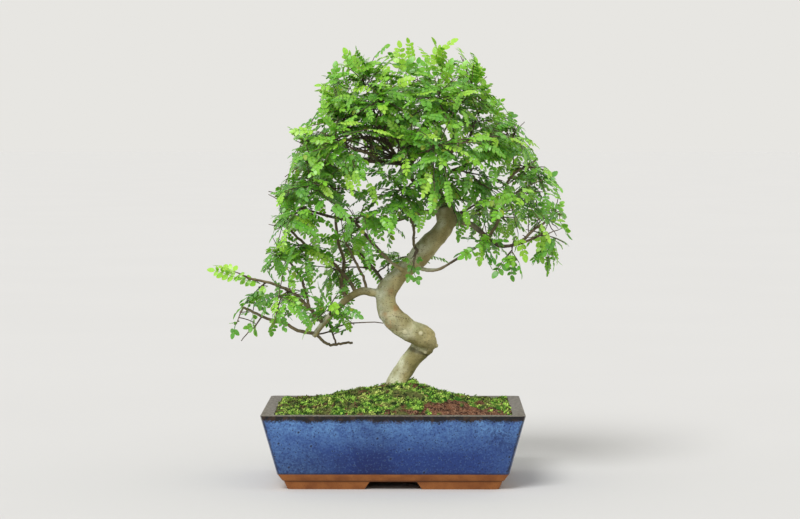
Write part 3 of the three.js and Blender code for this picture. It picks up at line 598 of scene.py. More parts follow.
def tube(points, radii, sides, rings, swell, seed):
    """A closed tube along a smooth line, with a slow swell in its girth."""
    line, shares = spline(points, rings)
    girth = np.interp(shares, np.linspace(0, 1, len(radii)), radii)
    ahead = np.gradient(line, axis=0)
    ahead /= np.linalg.norm(ahead, axis=1)[:, None]
    side = np.cross(ahead[0], (0.3, 1, 0.2))
    corners = []
    for place, forward, radius in zip(line, ahead, girth):
        side = side - forward * side.dot(forward)
        side /= np.linalg.norm(side)
        up = np.cross(forward, side)
        for k in range(sides):
            turn = 2 * math.pi * k / sides
            out = side * math.cos(turn) + up * math.sin(turn)
            wave = noise.noise(Vector(place * SWELL_SCALE + out * 0.8) + Vector((seed, 0, 0)))
            corners.append((place + out * radius * (1 + swell * wave)) * MM)
    faces = [list(range(sides))[::-1], [(rings - 1) * sides + k for k in range(sides)]]
    for r in range(rings - 1):
        for k in range(sides):
            n = (k + 1) % sides
            faces.append([r * sides + k, r * sides + n, (r + 1) * sides + n, (r + 1) * sides + k])
    return new_mesh("tube", corners, faces)


def make_trunk():
    """The skin of the trunk and its thick limbs, melted together."""
    tubes = [
        tube(*TRUNK_LOW, TRUNK_SIDES, rings=60, swell=0.16, seed=3.0),
        tube(*TRUNK_HIGH, TRUNK_SIDES, rings=110, swell=0.16, seed=9.0),
    ]
    for name in THICK:
        (foot, end), points = BRANCHES[name]
        flare = [foot * 1.2, foot, *np.linspace(foot, end, 6)[1:]]
        tubes.append(tube(points, flare, LIMB_SIDES, rings=70, swell=0.12, seed=1.0))
    worker = merge("trunk_raw", tubes)
    melt = worker.modifiers.new("melt", "REMESH")
    melt.mode = "VOXEL"
    melt.voxel_size = VOXEL
    soften = worker.modifiers.new("soften", "SMOOTH")
    soften.factor = 0.5
    soften.iterations = 6
    return plain_mesh(worker, "trunk_skin")


trunk_mesh = make_trunk()
print("trunk skin:", len(trunk_mesh.polygons), "faces")

# %% [markdown]
# What years leave on bark, and painted shade. Low swells and fine cross wrinkles come from noise. A few
# marks stand where the photograph shows them: pale rolls of wood that closed old cuts, a rusty stain
# below the upper bend, and painted shade, near black, in the crease under the lower bend and in two
# cracks above it.


# %% Bark relief, age and marks
# Marks on the trunk's front: what they are, where their middle is in x and z, radius and height, in mm
MARKS = [
    ("healed", 12, 163, 3.0, 0.7), ("healed", 29, 162, 2.6, 0.5), ("healed", 34, 139.5, 2.0, 0.5),
    ("healed", 48.5, 146, 3.6, 2.2), ("rust", -4, 172, 6.5, 0), ("rust", 2, 189, 4, 0),
]
# Painted shade: dark spots along the crease under the lower bend, and along two cracks above it
MARKS += [("painted_crease_shade", 19 + k * 1.5, 143 - k * 0.6, 3.0 - 0.14 * k, -0.8 + 0.05 * k) for k in range(13)]
MARKS += [("painted_crease_shade", k * 2.6, 181 - k * 0.7, 0.9, 0.5) for k in range(7)]
MARKS += [("painted_crease_shade", 24 + k * 2.4, 163 - 0.5 * k, 0.8, 0.4) for k in range(5)]
MARK_NAMES = ("healed", "rust", "painted_crease_shade")
MARK_STRENGTH = 1.6
FRONT_FACING = 0.15
# Wood is old up to the first distance from its line, and its age fades over the second
TRUNK_OLD, TRUNK_FADE = 15.5 * MM, 30 * MM
LIMB_OLD, LIMB_FADE, LIMB_AGE = 6 * MM, 3 * MM, 0.82
# Noise on the bark: waves along a metre, and height in mm
SWELLS = ((95, 0.8), (260, 0.3))
WRINKLE_SCALE, WRINKLE_HEIGHT = Vector((260, 260, 620)), 0.2


def marks_at(place, normal):
    """How strongly each sort of mark shows at a place on the trunk, and how far they raise it in mm."""
    shown, raised, nearest = dict.fromkeys(MARK_NAMES, 0.0), 0.0, 0.0
    for name, x, z, radius, height in MARKS if normal.y < FRONT_FACING else ():
        near = 1 - ((place.x / MM - x) ** 2 + (place.z / MM - z) ** 2) / radius**2
        if near > 0:
            shown[name] = max(shown[name], min(1.0, MARK_STRENGTH * near))
        if near > nearest:
            raised, nearest = height * near * (2 - near), near
    return shown, raised


def distance(place, line):
    """How far a place is from the nearest point of a line."""
    return np.min(np.linalg.norm(line - np.array(place), axis=1))


def dress_trunk(mesh):
    """Moves the skin for swells, wrinkles and marks, and stores each place's age, what marks it, and how much
    it faces the light, for painted light and shade.
    """
    core = np.concatenate([spline(TRUNK_HIGH[0], 60)[0], spline(TRUNK_LOW[0], 40)[0]]) * MM
    limb = spline(BRANCHES["first_limb"][1], 60)[0] * MM
    normals = [v.normal.copy() for v in mesh.vertices]
    stored = {name: [] for name in ("age", "painted_lit_side", *MARK_NAMES)}
    for vertex, normal in zip(mesh.vertices, normals):
        place = vertex.co
        old = 1 - clamp((distance(place, core) - TRUNK_OLD) / TRUNK_FADE)
        on_limb = LIMB_AGE * (1 - clamp((distance(place, limb) - LIMB_OLD) / LIMB_FADE))
        shown, raised = marks_at(place, normal)
        swell = sum(noise.noise(place * scale) * height for scale, height in SWELLS)
        wrinkle = noise.noise(place * WRINKLE_SCALE) * WRINKLE_HEIGHT
        vertex.co = place + normal * ((swell + wrinkle) * (0.25 + 0.75 * old) + raised) * MM
        stored["age"].append(max(old, on_limb))
        # Painted light and shade: faces turned up and to the left are painted paler as the lit side, the
        # others warm brown as the shaded side
        stored["painted_lit_side"].append(clamp(0.42 - 0.5 * normal.x + 0.3 * normal.z))
        for name in MARK_NAMES:
            stored[name].append(shown[name])
    for name, values in stored.items():
        set_attribute(mesh, name, values)
    mesh.shade_smooth()


dress_trunk(trunk_mesh)
print("bark relief done,", len(MARKS), "marks")

# %% [markdown]
# Thin branches and twigs are many lines with a girth at each point, which is what Geometry Nodes are
# good at: the tree below takes any network of edges, reads each point's radius, and sweeps a circle
# along it. The sprays' green stems are made the same way later. Twigs have a small kink at each bud, and
# short bare twigs fork off them, most of all in the thicket that shows through the shaded crown.


# %% Node tree: limbs
def smooth_tubes(tree, lines, sides):
    """Tubes along all lines of edges, as wide as their points say."""
    curve = flow(tree, "GeometryNodeMeshToCurve", {0: lines})
    return flow(tree, "GeometryNodeSetShadeSmooth", {0: swept(tree, curve, sides, attribute(tree, "girth"))})


def limbs_tree():
    tree, given = geometry_tree("limbs", sides="Int", material="Material")
    return finish_tree(tree, smooth_tubes(tree, given["Geometry"], given["sides"]), given["material"])


LIMBS = limbs_tree()


def network(name, lines):
    """A mesh of loose edges from lists of (points in mm, radii in mm, age)."""
    corners, edges, girth, age = [], [], [], []
    for points, radii, old in lines:
        first = len(corners)
        corners += [tuple(np.array(p) * MM) for p in points]
        edges += [(first + k, first + k + 1) for k in range(len(points) - 1)]
        girth += [r * MM for r in radii]
        age += [old] * len(points)
    mesh = new_mesh(name, corners, [], edges)
    set_attribute(mesh, "girth", girth)
    set_attribute(mesh, "age", age)
    return mesh


def twig(line, radii, kink, seed, age=0.0):
    """One line for the network, with small kinks, and radii from its foot to its end."""
    draw = np.random.default_rng(seed)
    bent = line.copy()
    bent[1:-1] += draw.normal(0, kink, bent[1:-1].shape)
    return bent, np.linspace(*radii, len(line)), age


print("node tree ready:", LIMBS.name)


# %% Twigs
# Bare twigs on the lowest branch, and a fan of them in the shade under the crown's top
BARE_TWIGS = [
    [(-126, -42, 177), (-125, -44, 194), (-125, -50, 210)],
    [(-141, -46, 182), (-147, -48, 173), (-154, -50, 167), (-163, -52, 156)],
    [(-122, -41, 176), (-113, -36, 185), (-93, -33, 184)],
    [(-86, -30, 161), (-63, -27, 166), (-57, -26, 171), (-46, -25, 173), (-28, -24, 174), (-11, -24, 173)],
    [(4, -12, 350), (-10, -18, 360), (-28, -22, 370), (-47, -26, 377)],
    [(4, -12, 351), (-4, -18, 363), (-17, -22, 377), (-26, -26, 390)],
    [(4, -12, 351), (5, -18, 368), (-2, -22, 385)],
    [(4, -12, 351), (17, -18, 366), (22, -22, 381)],
    [(2, -13, 350), (-19, -20, 353), (-41, -24, 351), (-58, -28, 358)],
    [(-10, -18, 360), (-19, -20, 364), (-34, -24, 363)],
    [(-4, -18, 363), (-11, -20, 377), (-8, -24, 388)],
    [(4, -12, 350), (33, -20, 364), (50, -24, 375)],
]
# The thicket behind that fan
THICKET_TWIGS = [
    [(4, -11, 351), (-24, -6, 362), (-44, -4, 369), (-62, -2, 372)],
    [(4, -11, 351), (-20, -2, 371), (-37, 4, 384)],
    [(4, -11, 351), (-28, 2, 357), (-56, 8, 365)],
    [(4, -11, 350), (-30, -8, 349), (-52, -12, 344)],
    [(4, -11, 352), (-12, 4, 374), (-22, 10, 390)],
    [(4, -11, 352), (-30, -12, 373), (-52, -14, 386)],
    [(4, -11, 350), (-14, -4, 358), (-38, -2, 376), (-50, 2, 391)],
]
# Each sort of twig: radii at foot and end, how crooked it is, and where the seeds of its lines start
TWIG_SORTS = {
    "bare": ((0.95, 0.5), 0.3, 60), "spray": ((1.15, 0.85), 0.25, 100),
    "thicket": ((0.9, 0.5), 0.4, 200), "fork": ((0.7, 0.35), 0.5, 500),
}
BRANCH_STEPS, TWIG_STEPS = 22, 9
BRANCH_KINK, BRANCH_AGE = 0.35, 0.25
FORKS, FORK_STEPS = 5, 5
FORK_REACH = (10, 24)
FORKS_AHEAD, FORKS_UP = 0.8, 0.3
FORKS_UNTIL = 0.75
# Forks start above the first height, and at the left, between two places in x, above the second height
BARE_ABOVE = 262
GAP_LEFT, GAP_RIGHT, GAP_ABOVE = -120, -40, 195


def forks(line, seed):
    """Short bare twigs that leave a line at random places on its way."""
    radii, kink, first_seed = TWIG_SORTS["fork"]
    draw = np.random.default_rng(first_seed + seed)
    made = []
    for _ in range(FORKS):
        at = line[draw.integers(2, max(3, round(FORKS_UNTIL * len(line))))]
        ahead = FORKS_AHEAD * unit(line[-1] - line[0])
        out = unit(draw.normal(0, 1, 3) + ahead + np.array([0, 0, FORKS_UP]))
        fork = at + out * draw.uniform(*FORK_REACH) * np.linspace(0, 1, FORK_STEPS)[:, None]
        if at[2] > BARE_ABOVE or (GAP_LEFT < at[0] < GAP_RIGHT and at[2] > GAP_ABOVE):
            made.append(twig(fork, radii, kink, seed))
    return made


def twigs_of(sort, lines):
    """Lines of one sort for the network."""
    radii, kink, first_seed = TWIG_SORTS[sort]
    return [twig(line, radii, kink, first_seed + number) for number, line in enumerate(lines)]


twig_lines = [
    twig(spline(points, BRANCH_STEPS)[0], radii, BRANCH_KINK, number, BRANCH_AGE)
    for number, (name, (radii, points)) in enumerate(BRANCHES.items()) if name not in THICK
]
twig_lines += twigs_of("bare", [spline(points, TWIG_STEPS)[0] for points in BARE_TWIGS])
twig_lines += twigs_of("spray", [spray_line(*spray[:3])[:WOOD_END] for spray in SPRAYS.values()])
twig_lines += twigs_of("thicket", [spline(points, TWIG_STEPS)[0] for points in THICKET_TWIGS])
fork_lines = [fork for number, (line, _, _) in enumerate(twig_lines) for fork in forks(line, number)]
twigs = grow("twigs", network("twig_lines", twig_lines), LIMBS, sides=8, material=BARK)
fine_twigs = grow("fine_twigs", network("fork_lines", fork_lines), LIMBS, sides=4, material=BARK)
print("twigs:", len(twig_lines), "lines and", len(fork_lines), "forks")

# %% The tree's wood as one piece
trunk = merge("trunk_and_branches", [trunk_mesh, twigs, fine_twigs], BARK)
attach(trunk, BODY)
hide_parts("trunk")
print("trunk piece:", len(trunk.data.polygons), "faces")

# %% [markdown]
# A leaflet is an oval about six millimetres long, folded a little along its rib. One closed mesh of
# twenty faces stands for all of them, because thousands are placed. It is thickest in its middle and
# its edge is sharp, so that it closes without a wall.


# %% One leaflet
LEAFLET_LENGTH = 6.4
LEAFLET_WIDTH = 4.5
LEAFLET_THICK = 0.34
LEAFLET_FOLD = 0.2
HALF_STEPS = 4


def leaflet_outline():
    """Half of the outline from foot to tip: how far along, and half as wide as the leaflet is there."""
    shares = [(k - 0.35) / HALF_STEPS for k in range(1, HALF_STEPS + 1)]
    return [
        (LEAFLET_LENGTH * share, LEAFLET_WIDTH / 2 * math.sin(math.pi * share**0.85) ** 0.6)
        for share in shares
    ]


def leaflet_lift(x, y):
    """Folded up along its rib, and arched down toward its tip."""
    return LEAFLET_FOLD * abs(y) - 0.014 * x * x - 0.03 * y * y


def leaflet_mesh():
    """Runs out along +X from its own foot, with its upper face to +Z."""
    half = leaflet_outline()
    outline = [(0.0, 0.0), *half, (LEAFLET_LENGTH * 0.985, 0.0), *[(x, -y) for x, y in reversed(half)]]
    count = len(outline)
    middle = 0.48 * LEAFLET_LENGTH
    corners = [(x, y, leaflet_lift(x, y)) for x, y in outline]
    corners += [(middle, 0, leaflet_lift(middle, 0) + side * LEAFLET_THICK / 2) for side in (1, -1)]
    faces = []
    for k in range(count):
        n = (k + 1) % count
        faces += [(k, n, count), (n, k, count + 1)]
    mesh = new_mesh("leaflet", np.array(corners) * MM, faces)
    box = bmesh.new()
    box.from_mesh(mesh)
    bmesh.ops.recalc_face_normals(box, faces=box.faces)
    box.to_mesh(mesh)
    box.free()
    mesh.shade_smooth()
    sharp = mesh.attributes.new("sharp_edge", "BOOLEAN", "EDGE")
    for edge in mesh.edges:
        sharp.data[edge.index].value = all(v < count for v in edge.vertices)
    set_attribute(mesh, "rib", [1.0 if k >= count else 0.0 for k in range(len(mesh.vertices))])
    return mesh


leaflet = bpy.data.objects.new("leaflet", leaflet_mesh())
print("leaflet:", len(leaflet.data.polygons), "triangles")

# %% [markdown]
# A compound leaf is a thin rib with leaflets in pairs and one at its end. Geometry Nodes set them out:
# a line of points for the pairs, one set leaning left and one right, with small random turns, and a
# last step that bends the whole leaf down along its length. The inputs make several kinds of leaf.


# %% Node tree: compound leaf
RIB_RADIUS = 0.42 * MM


def joined(tree, parts):
    """Several pieces of geometry as one."""
    made = put(tree, "GeometryNodeJoinGeometry")
    for part in reversed(parts):
        tree.links.new(part.socket, made.inputs[0])
    return Value(tree, made.outputs[0])


def placed(tree, points, piece, rotation, scale, name, value):
    """A copy of an object on every point, each holding a value of its own under a name."""
    shape = flow(tree, "GeometryNodeObjectInfo", {"Object": piece, "As Instance": True}, "Geometry")
    inputs = {"Points": points, "Instance": shape, "Rotation": rotation, "Scale": scale}
    copies = flow(tree, "GeometryNodeInstanceOnPoints", inputs)
    inputs = {"Geometry": copies, "Name": name, "Value": value}
    return flow(tree, "GeometryNodeStoreNamedAttribute", inputs, data_type="FLOAT", domain="INSTANCE")


def compound_leaf_tree():
    tree, given = geometry_tree(
        "compound_leaf", pairs="Int", petiole="Float", pitch="Float", size="Float", lean="Float",
        droop="Float", leaflet="Object", seed="Int", material="Material",
    )

    # Small random turns, in radians, and sizes; each use has a salt of its own
    def wobble(low, high, salt):
        return random_value(tree, low, high, given["seed"] + salt)

    def leaflets(points, lean, size, salt):
        heading = wobble(-0.16, 0.16, salt + 2) + lean
        turn = vector(tree, wobble(-0.5, 0.5, salt), wobble(-0.25, 0.4, salt + 1), heading)
        scale = size * wobble(0.84, 1.1, salt + 3)
        own = wobble(0.0, 1.0, salt + 4)
        return placed(tree, points, given["leaflet"], turn, scale, "leaflet", own)

    start, step = vector(tree, given["petiole"]), vector(tree, given["pitch"])
    row = flow(tree, "GeometryNodeMeshLine", {"Count": given["pairs"], 2: start, 3: step})
    share = (flow(tree, "GeometryNodeInputIndex") + 0.7) / given["pairs"]
    sized = given["size"] * ((share * math.pi).math("SINE") * 0.22 + 0.8)
    end = vector(tree, given["petiole"] + given["pitch"] * (given["pairs"] - 0.5))
    last = flow(tree, "GeometryNodeMeshLine", {"Count": 1, 2: end})
    line = flow(tree, "GeometryNodeCurvePrimitiveLine", {1: end})
    steps = flow(tree, "GeometryNodeResampleCurve", {"Curve": line, "Count": 5})
    whole = joined(tree, [
        leaflets(row, given["lean"], sized, 10),
        leaflets(row, given["lean"] * -1.0, sized, 20),
        leaflets(last, 0.0, given["size"] * 1.05, 30),
        swept(tree, steps, 3, RIB_RADIUS),
    ])
    real = flow(tree, "GeometryNodeRealizeInstances", {0: whole})
    along = split(tree, flow(tree, "GeometryNodeInputPosition"))[0]
    down = vector(tree, z=along * along * given["droop"] * -1.0)
    bent = flow(tree, "GeometryNodeSetPosition", {"Geometry": real, "Offset": down})
    return finish_tree(tree, bent, given["material"])


COMPOUND_LEAF = compound_leaf_tree()
print("node tree ready:", COMPOUND_LEAF.name)

# %% Kinds of leaf
LEAF_PITCH = 4.3
LEAF_PETIOLE = 5
LEAFLET_LEAN = math.radians(64)
LEAF_KINDS = bpy.data.collections.new("leaf_kinds")
# Each kind: its pairs of leaflets, how far it droops and how large its leaflets are
GROWN = [(4, 8.0, 1.0), (5, 6.0, 0.95), (5, 12.0, 0.92), (4, 4.0, 1.05), (6, 8.0, 0.88), (5, 9.0, 1.0)]
BROAD = [(1, 4.0, 1.15), (2, 4.0, 1.25), (3, 5.0, 1.28), (4, 5.0, 1.3)]
KINDS = GROWN + BROAD


def leaf_length(kind):
    """From the foot of a leaf's stalk to the tip of its last leaflet, in mm."""
    pairs, _, size = KINDS[kind]
    return LEAF_PETIOLE + (LEAF_PITCH * (pairs - 0.5) + LEAFLET_LENGTH) * size


for number, (pairs, droop, size) in enumerate(KINDS):
    kind = grow(
        f"leaf_kind_{number}", new_mesh("seed", [(0, 0, 0)], []), COMPOUND_LEAF, pairs=pairs,
        petiole=LEAF_PETIOLE * MM, pitch=LEAF_PITCH * MM * size, size=size, lean=LEAFLET_LEAN,
        droop=droop, leaflet=leaflet, seed=number * 50, material=LEAF,
    )
    LEAF_KINDS.objects.link(bpy.data.objects.new(f"leaf_kind_{number}", kind))
faces = [len(leaf.data.polygons) for leaf in LEAF_KINDS.objects]
print(len(faces), "kinds of leaf with", min(faces), "to", max(faces), "faces")

# %% [markdown]
# A spray is a leafy stem with shorter side stems. Leaves sit alternately along each stem, and the last
# one carries the stem's line on. The places are worked out here, one point for each leaf with its turn,
# size, kind and tint, and one node tree puts the leaves on the points and sweeps the stems.


# %% Node tree: spray
def spray_tree():
    tree, given = geometry_tree("spray", kinds="Collection", wood="Material", sides="Int")
    inputs = {"Collection": given["kinds"], "Separate Children": True, "Reset Children": True}
    kinds = flow(tree, "GeometryNodeCollectionInfo", inputs)
    size = attribute(tree, "size")
    is_leaf = flow(tree, "FunctionNodeCompare", {0: size, 1: 0.01}, operation="GREATER_THAN")
    leaves = flow(tree, "GeometryNodeInstanceOnPoints", {
        "Points": given["Geometry"], "Selection": is_leaf, "Instance": kinds, "Pick Instance": True,
        "Instance Index": attribute(tree, "kind", "INT"), "Rotation": attribute(tree, "turn", "QUATERNION"),
        "Scale": size,
    })
    real = flow(tree, "GeometryNodeRealizeInstances", {0: leaves})
    stems = smooth_tubes(tree, given["Geometry"], given["sides"])
    woody = flow(tree, "GeometryNodeSetMaterial", {0: stems, "Material": given["wood"]})
    put(tree, "NodeGroupOutput", {0: joined(tree, [woody, real])})
    return tree


SPRAY = spray_tree()
print("node tree ready:", SPRAY.name)

# %% [markdown]
# Where foliage may be. The crown's outline was read off the photograph, point by point, so that the
# leaves end where the real ones do. Two places stay free: the view of the bare lower trunk with its
# first limb, and a shaded hollow under the crown's top, where the twigs show.


# %% The crown's outline
# The foliage ends along this line, seen from the front: x and z in mm, from low left over the top
CROWN_OUTLINE = [
    (-206, 240), (-150, 232), (-141, 246), (-136, 256), (-133, 270), (-137, 286), (-126, 301), (-130, 322),
    (-115, 342), (-107, 360), (-102, 372), (-112, 387), (-97, 396), (-83, 405), (-79, 415), (-82, 431),
    (-66, 453), (-52, 469), (8, 479), (39, 474), (72, 484), (93, 465), (104, 437), (114, 419), (137, 401),
    (154, 372), (177, 338), (186, 304), (189, 285), (196, 271), (193, 262), (179, 231), (150, 208),
    (120, 206), (96, 224), (66, 236), (40, 206), (0, 200), (-12, 174), (-40, 168), (-80, 164), (-110, 169),
    (-140, 162), (-160, 156), (-180, 156), (-180, 206), (-206, 220),
]
DEPTH_LIMIT = 122
TRUNK_CLEARANCE = 15
LIMB_CLEARANCE = 7
TRUNK_VIEW_TOP = 306
TRUNK_VIEW_BACK = 5
# The shaded hollow: its middle and half sizes in x and z, and how far back it reaches in y
SHADE_MIDDLE = (-20, 366)
SHADE_HALF = (38, 18)
SHADE_BACK = 20
TRUNK_LINE = np.concatenate([spline(TRUNK_LOW[0], 30)[0], spline(TRUNK_HIGH[0], 50)[0]])
LIMB_LINE = spline(BRANCHES["first_limb"][1], 30)[0]


def inside_crown(place):
    """True inside the outline seen from the front, and within the crown's depth."""
    x, y, z = place
    if abs(y) > DEPTH_LIMIT:
        return False
    inside = False
    for (ax, az), (bx, bz) in zip(CROWN_OUTLINE, CROWN_OUTLINE[1:] + CROWN_OUTLINE[:1]):
        if (az > z) != (bz > z) and x < ax + (bx - ax) * (z - az) / (bz - az):
            inside = not inside
    return inside


def hides_wood(place):
    """True for a place in front of the bare lower trunk, or of the twigs in the crown's shade."""
    x, y, z = place
    across, up = (x - SHADE_MIDDLE[0]) / SHADE_HALF[0], (z - SHADE_MIDDLE[1]) / SHADE_HALF[1]
    if y < SHADE_BACK and math.hypot(across, up) < 1:
        return True
    if y > TRUNK_VIEW_BACK or z > TRUNK_VIEW_TOP:
        return False
    if np.min(np.hypot(LIMB_LINE[:, 0] - x, LIMB_LINE[:, 2] - z)) < LIMB_CLEARANCE:
        return True
    return np.min(np.hypot(TRUNK_LINE[:, 0] - x, TRUNK_LINE[:, 2] - z)) < TRUNK_CLEARANCE


def may_end(place):
    """True where a leaf or a stem may end."""
    return inside_crown(place) and not hides_wood(place)


print("crown outline:", len(CROWN_OUTLINE), "points")

# %% [markdown]
# Side stems and leaves. The sprays' side stems are drawn at random, each into the widest room that is
# left, which is how a plant fills its crown with light. Leaves on the outside and on the crown's top are
# tinted paler, partly as young leaves and partly as painted light, and leaves inside are tinted darker,
# partly as older leaves and partly as painted shade. A leaf or stem that has no room is drawn again, or left
# out.


# %% Where side stems and leaves go
LEAVES_PER_STEM = 4.6
FULLNESS = {"low": 2.3, "high": 3.1}
REACH = {"low": (16, 30), "high": (22, 46)}
HIGH, HIGHEST = 300, 370
# Tints: the usual one, the painted light added on sprays at the crown's top, and that of new shoots
SHADE, HIGH_SHADE, YOUNG_SHADE = 0.37, 0.14, 0.95
LEAF_REACH = 27
CROWN_MIDDLE = np.array([0, 0, 320])
CROWN_HALF = np.array([170, 105, 140])
NEW_GROWTH = ("far_left_shoot", "leader_tip", "leader_left")
SHARED_SHOOTS = ((-1, 0.45), (1, 0.8))
SHARED_REACH = {"low": 13, "high": 25}
# Sprays with few leaves have small loose ones; the kinds of leaf are given as a first and an end number
LOOSE = 6
LOOSE_KINDS = (len(GROWN) + 1, len(GROWN) + 3)
YOUNG_KINDS = (len(GROWN) + 1, len(GROWN) + 4)
STEM_TRIES, LEAF_TRIES = 16, 5
# How far a shared shoot points ahead along its stem and to its side
SHARED_AHEAD, SHARED_ASIDE = 0.42, 0.87
# How a leaf points ahead along its stem, aside, any way, and up; and its size. The last leaf points ahead
LEAD, ASIDE, ANY_WAY, UPWARD, LEAF_SIZE = (0.2, 0.6), (0.7, 1.0), (-0.35, 0.35), (-0.45, 0.2), (0.8, 1.12)
LAST_LEAD, LAST_ASIDE, LAST_PALER = 1.4, (-0.2, 0.2), 0.12
# Leaves of one spray differ in tint by the first number, and the second tints them paler outward and darker
# inward, partly for their age and partly as painted light and shade
TINT_SPREAD, TINT_OUTWARD, OUTSIDE = 0.2, 0.34, 0.85


def turn_of(forward, sky):
    """The rotation that sends +X along forward and +Z toward the sky."""
    across = unit(np.cross(sky, forward))
    up = np.cross(forward, across)
    return Matrix(np.stack([forward, across, up], axis=1).tolist()).to_quaternion()


def side_stem(main, rise, reach, taken, draw):
    """Of several side stems drawn at random, the one that ends furthest from what is taken."""
    best, best_room = None, -1.0
    for _ in range(STEM_TRIES):
        at = main[draw.integers(GREEN_START - 1, SPRAY_STEPS - 1)]
        out = unit(draw.normal(0, 1, 3)) + unit(main[-1] - main[GREEN_START - 1]) * draw.uniform(0.3, 0.9)
        out = unit(out + np.array([0, 0, 0.5 * rise + draw.uniform(-0.1, 0.3)]))
        long = draw.uniform(*reach)
        end = at + out * (long + 0.5 * LEAF_REACH)
        room = np.min(np.linalg.norm(taken - end, axis=1))
        if may_end(end) and room > best_room:
            best, best_room = (at, out, long), room
    if best is None:
        return None
    at, out, long = best
    t = np.linspace(0, 1, 6)[:, None]
    sag = np.array([0, 0, -0.1 * long * (1 + max(0, -rise))])
    return at + out * long * t + sag * t**2


def shared_shoots(main, rise, reach):
    """The side shoots that the solid model's spray has too, one on each side of its stem."""
    shoots = []
    for side, share in SHARED_SHOOTS:
        spot = round(share * (len(main) - 1))
        ahead = unit(main[spot] - main[spot - 1])
        level = unit(np.array([-ahead[1], ahead[0] + 1e-6, 0])) * side
        out = unit(SHARED_AHEAD * ahead + SHARED_ASIDE * level + np.array([0, 0, rise - 0.1]))
        t = np.linspace(0, 1, 5)[:, None]
        shoots.append(main[spot] + out * reach * t - np.array([0, 0, 0.06 * reach]) * t**2)
    return shoots


def leaf_row(at, ahead, side, last, rise, look, draw):
    """One leaf: its place, turn, size, kind and tint, or None where it has no room."""
    out = unit(at - np.array([20, 0, at[2] - 25]))
    for _ in range(LEAF_TRIES):
        level = unit(np.cross(ahead, (0.1, 0.05, 1))) * side
        lead = LAST_LEAD if last else draw.uniform(*LEAD)
        aside = draw.uniform(*(LAST_ASIDE if last else ASIDE))
        forward = ahead * lead + level * aside + draw.uniform(*ANY_WAY, 3)
        forward = unit(forward + np.array([0, 0, 0.6 * rise + draw.uniform(*UPWARD)]))
        size = draw.uniform(*LEAF_SIZE)
        if look.free or may_end(at + forward * LEAF_REACH * size):
            sky = np.array([0, 0, 1]) + out * draw.uniform(0.2, 1.3) + draw.normal(0, 0.3, 3)
            if abs(forward.dot(unit(sky))) > 0.9:
                sky = out + np.array([0.1, 0.2, 0.1])
            # Partly painted light and shade: leaves far out from the crown's middle are tinted paler, and
            # inner ones darker
            outward = min(1.1, np.linalg.norm((at - CROWN_MIDDLE) / CROWN_HALF))
            tint = draw.normal(look.shade, TINT_SPREAD) + (LAST_PALER if last else 0)
            tint += TINT_OUTWARD * (outward - OUTSIDE)
            return at, turn_of(forward, sky), size, draw.integers(*look.kinds), clamp(tint)
    return None


def leaves_along(stem, count, rise, look, draw):
    """Leaves to the left and right of a stem in turn, and one at its end."""
    rows = []
    for k in range(count):
        last = k == count - 1
        spot = (1.0 if last else (k + 0.6) / count) * (len(stem) - 1)
        low = min(len(stem) - 2, int(spot))
        at = stem[low] + (stem[low + 1] - stem[low]) * (spot - low)
        ahead = unit(stem[low + 1] - stem[low])
        row = leaf_row(at, ahead, 1 if k % 2 else -1, last, rise, look, draw)
        if row:
            rows.append(row)
    return rows


print("side stems reach", REACH["low"], "mm low on the tree and", REACH["high"], "mm in the crown")

# %% [markdown]
# Leaves that stand alone. Where a single leaf shows against the background, the eye notices its place,
# so these were read off the photograph one by one. Each hangs on a fine stalk from its own spray.


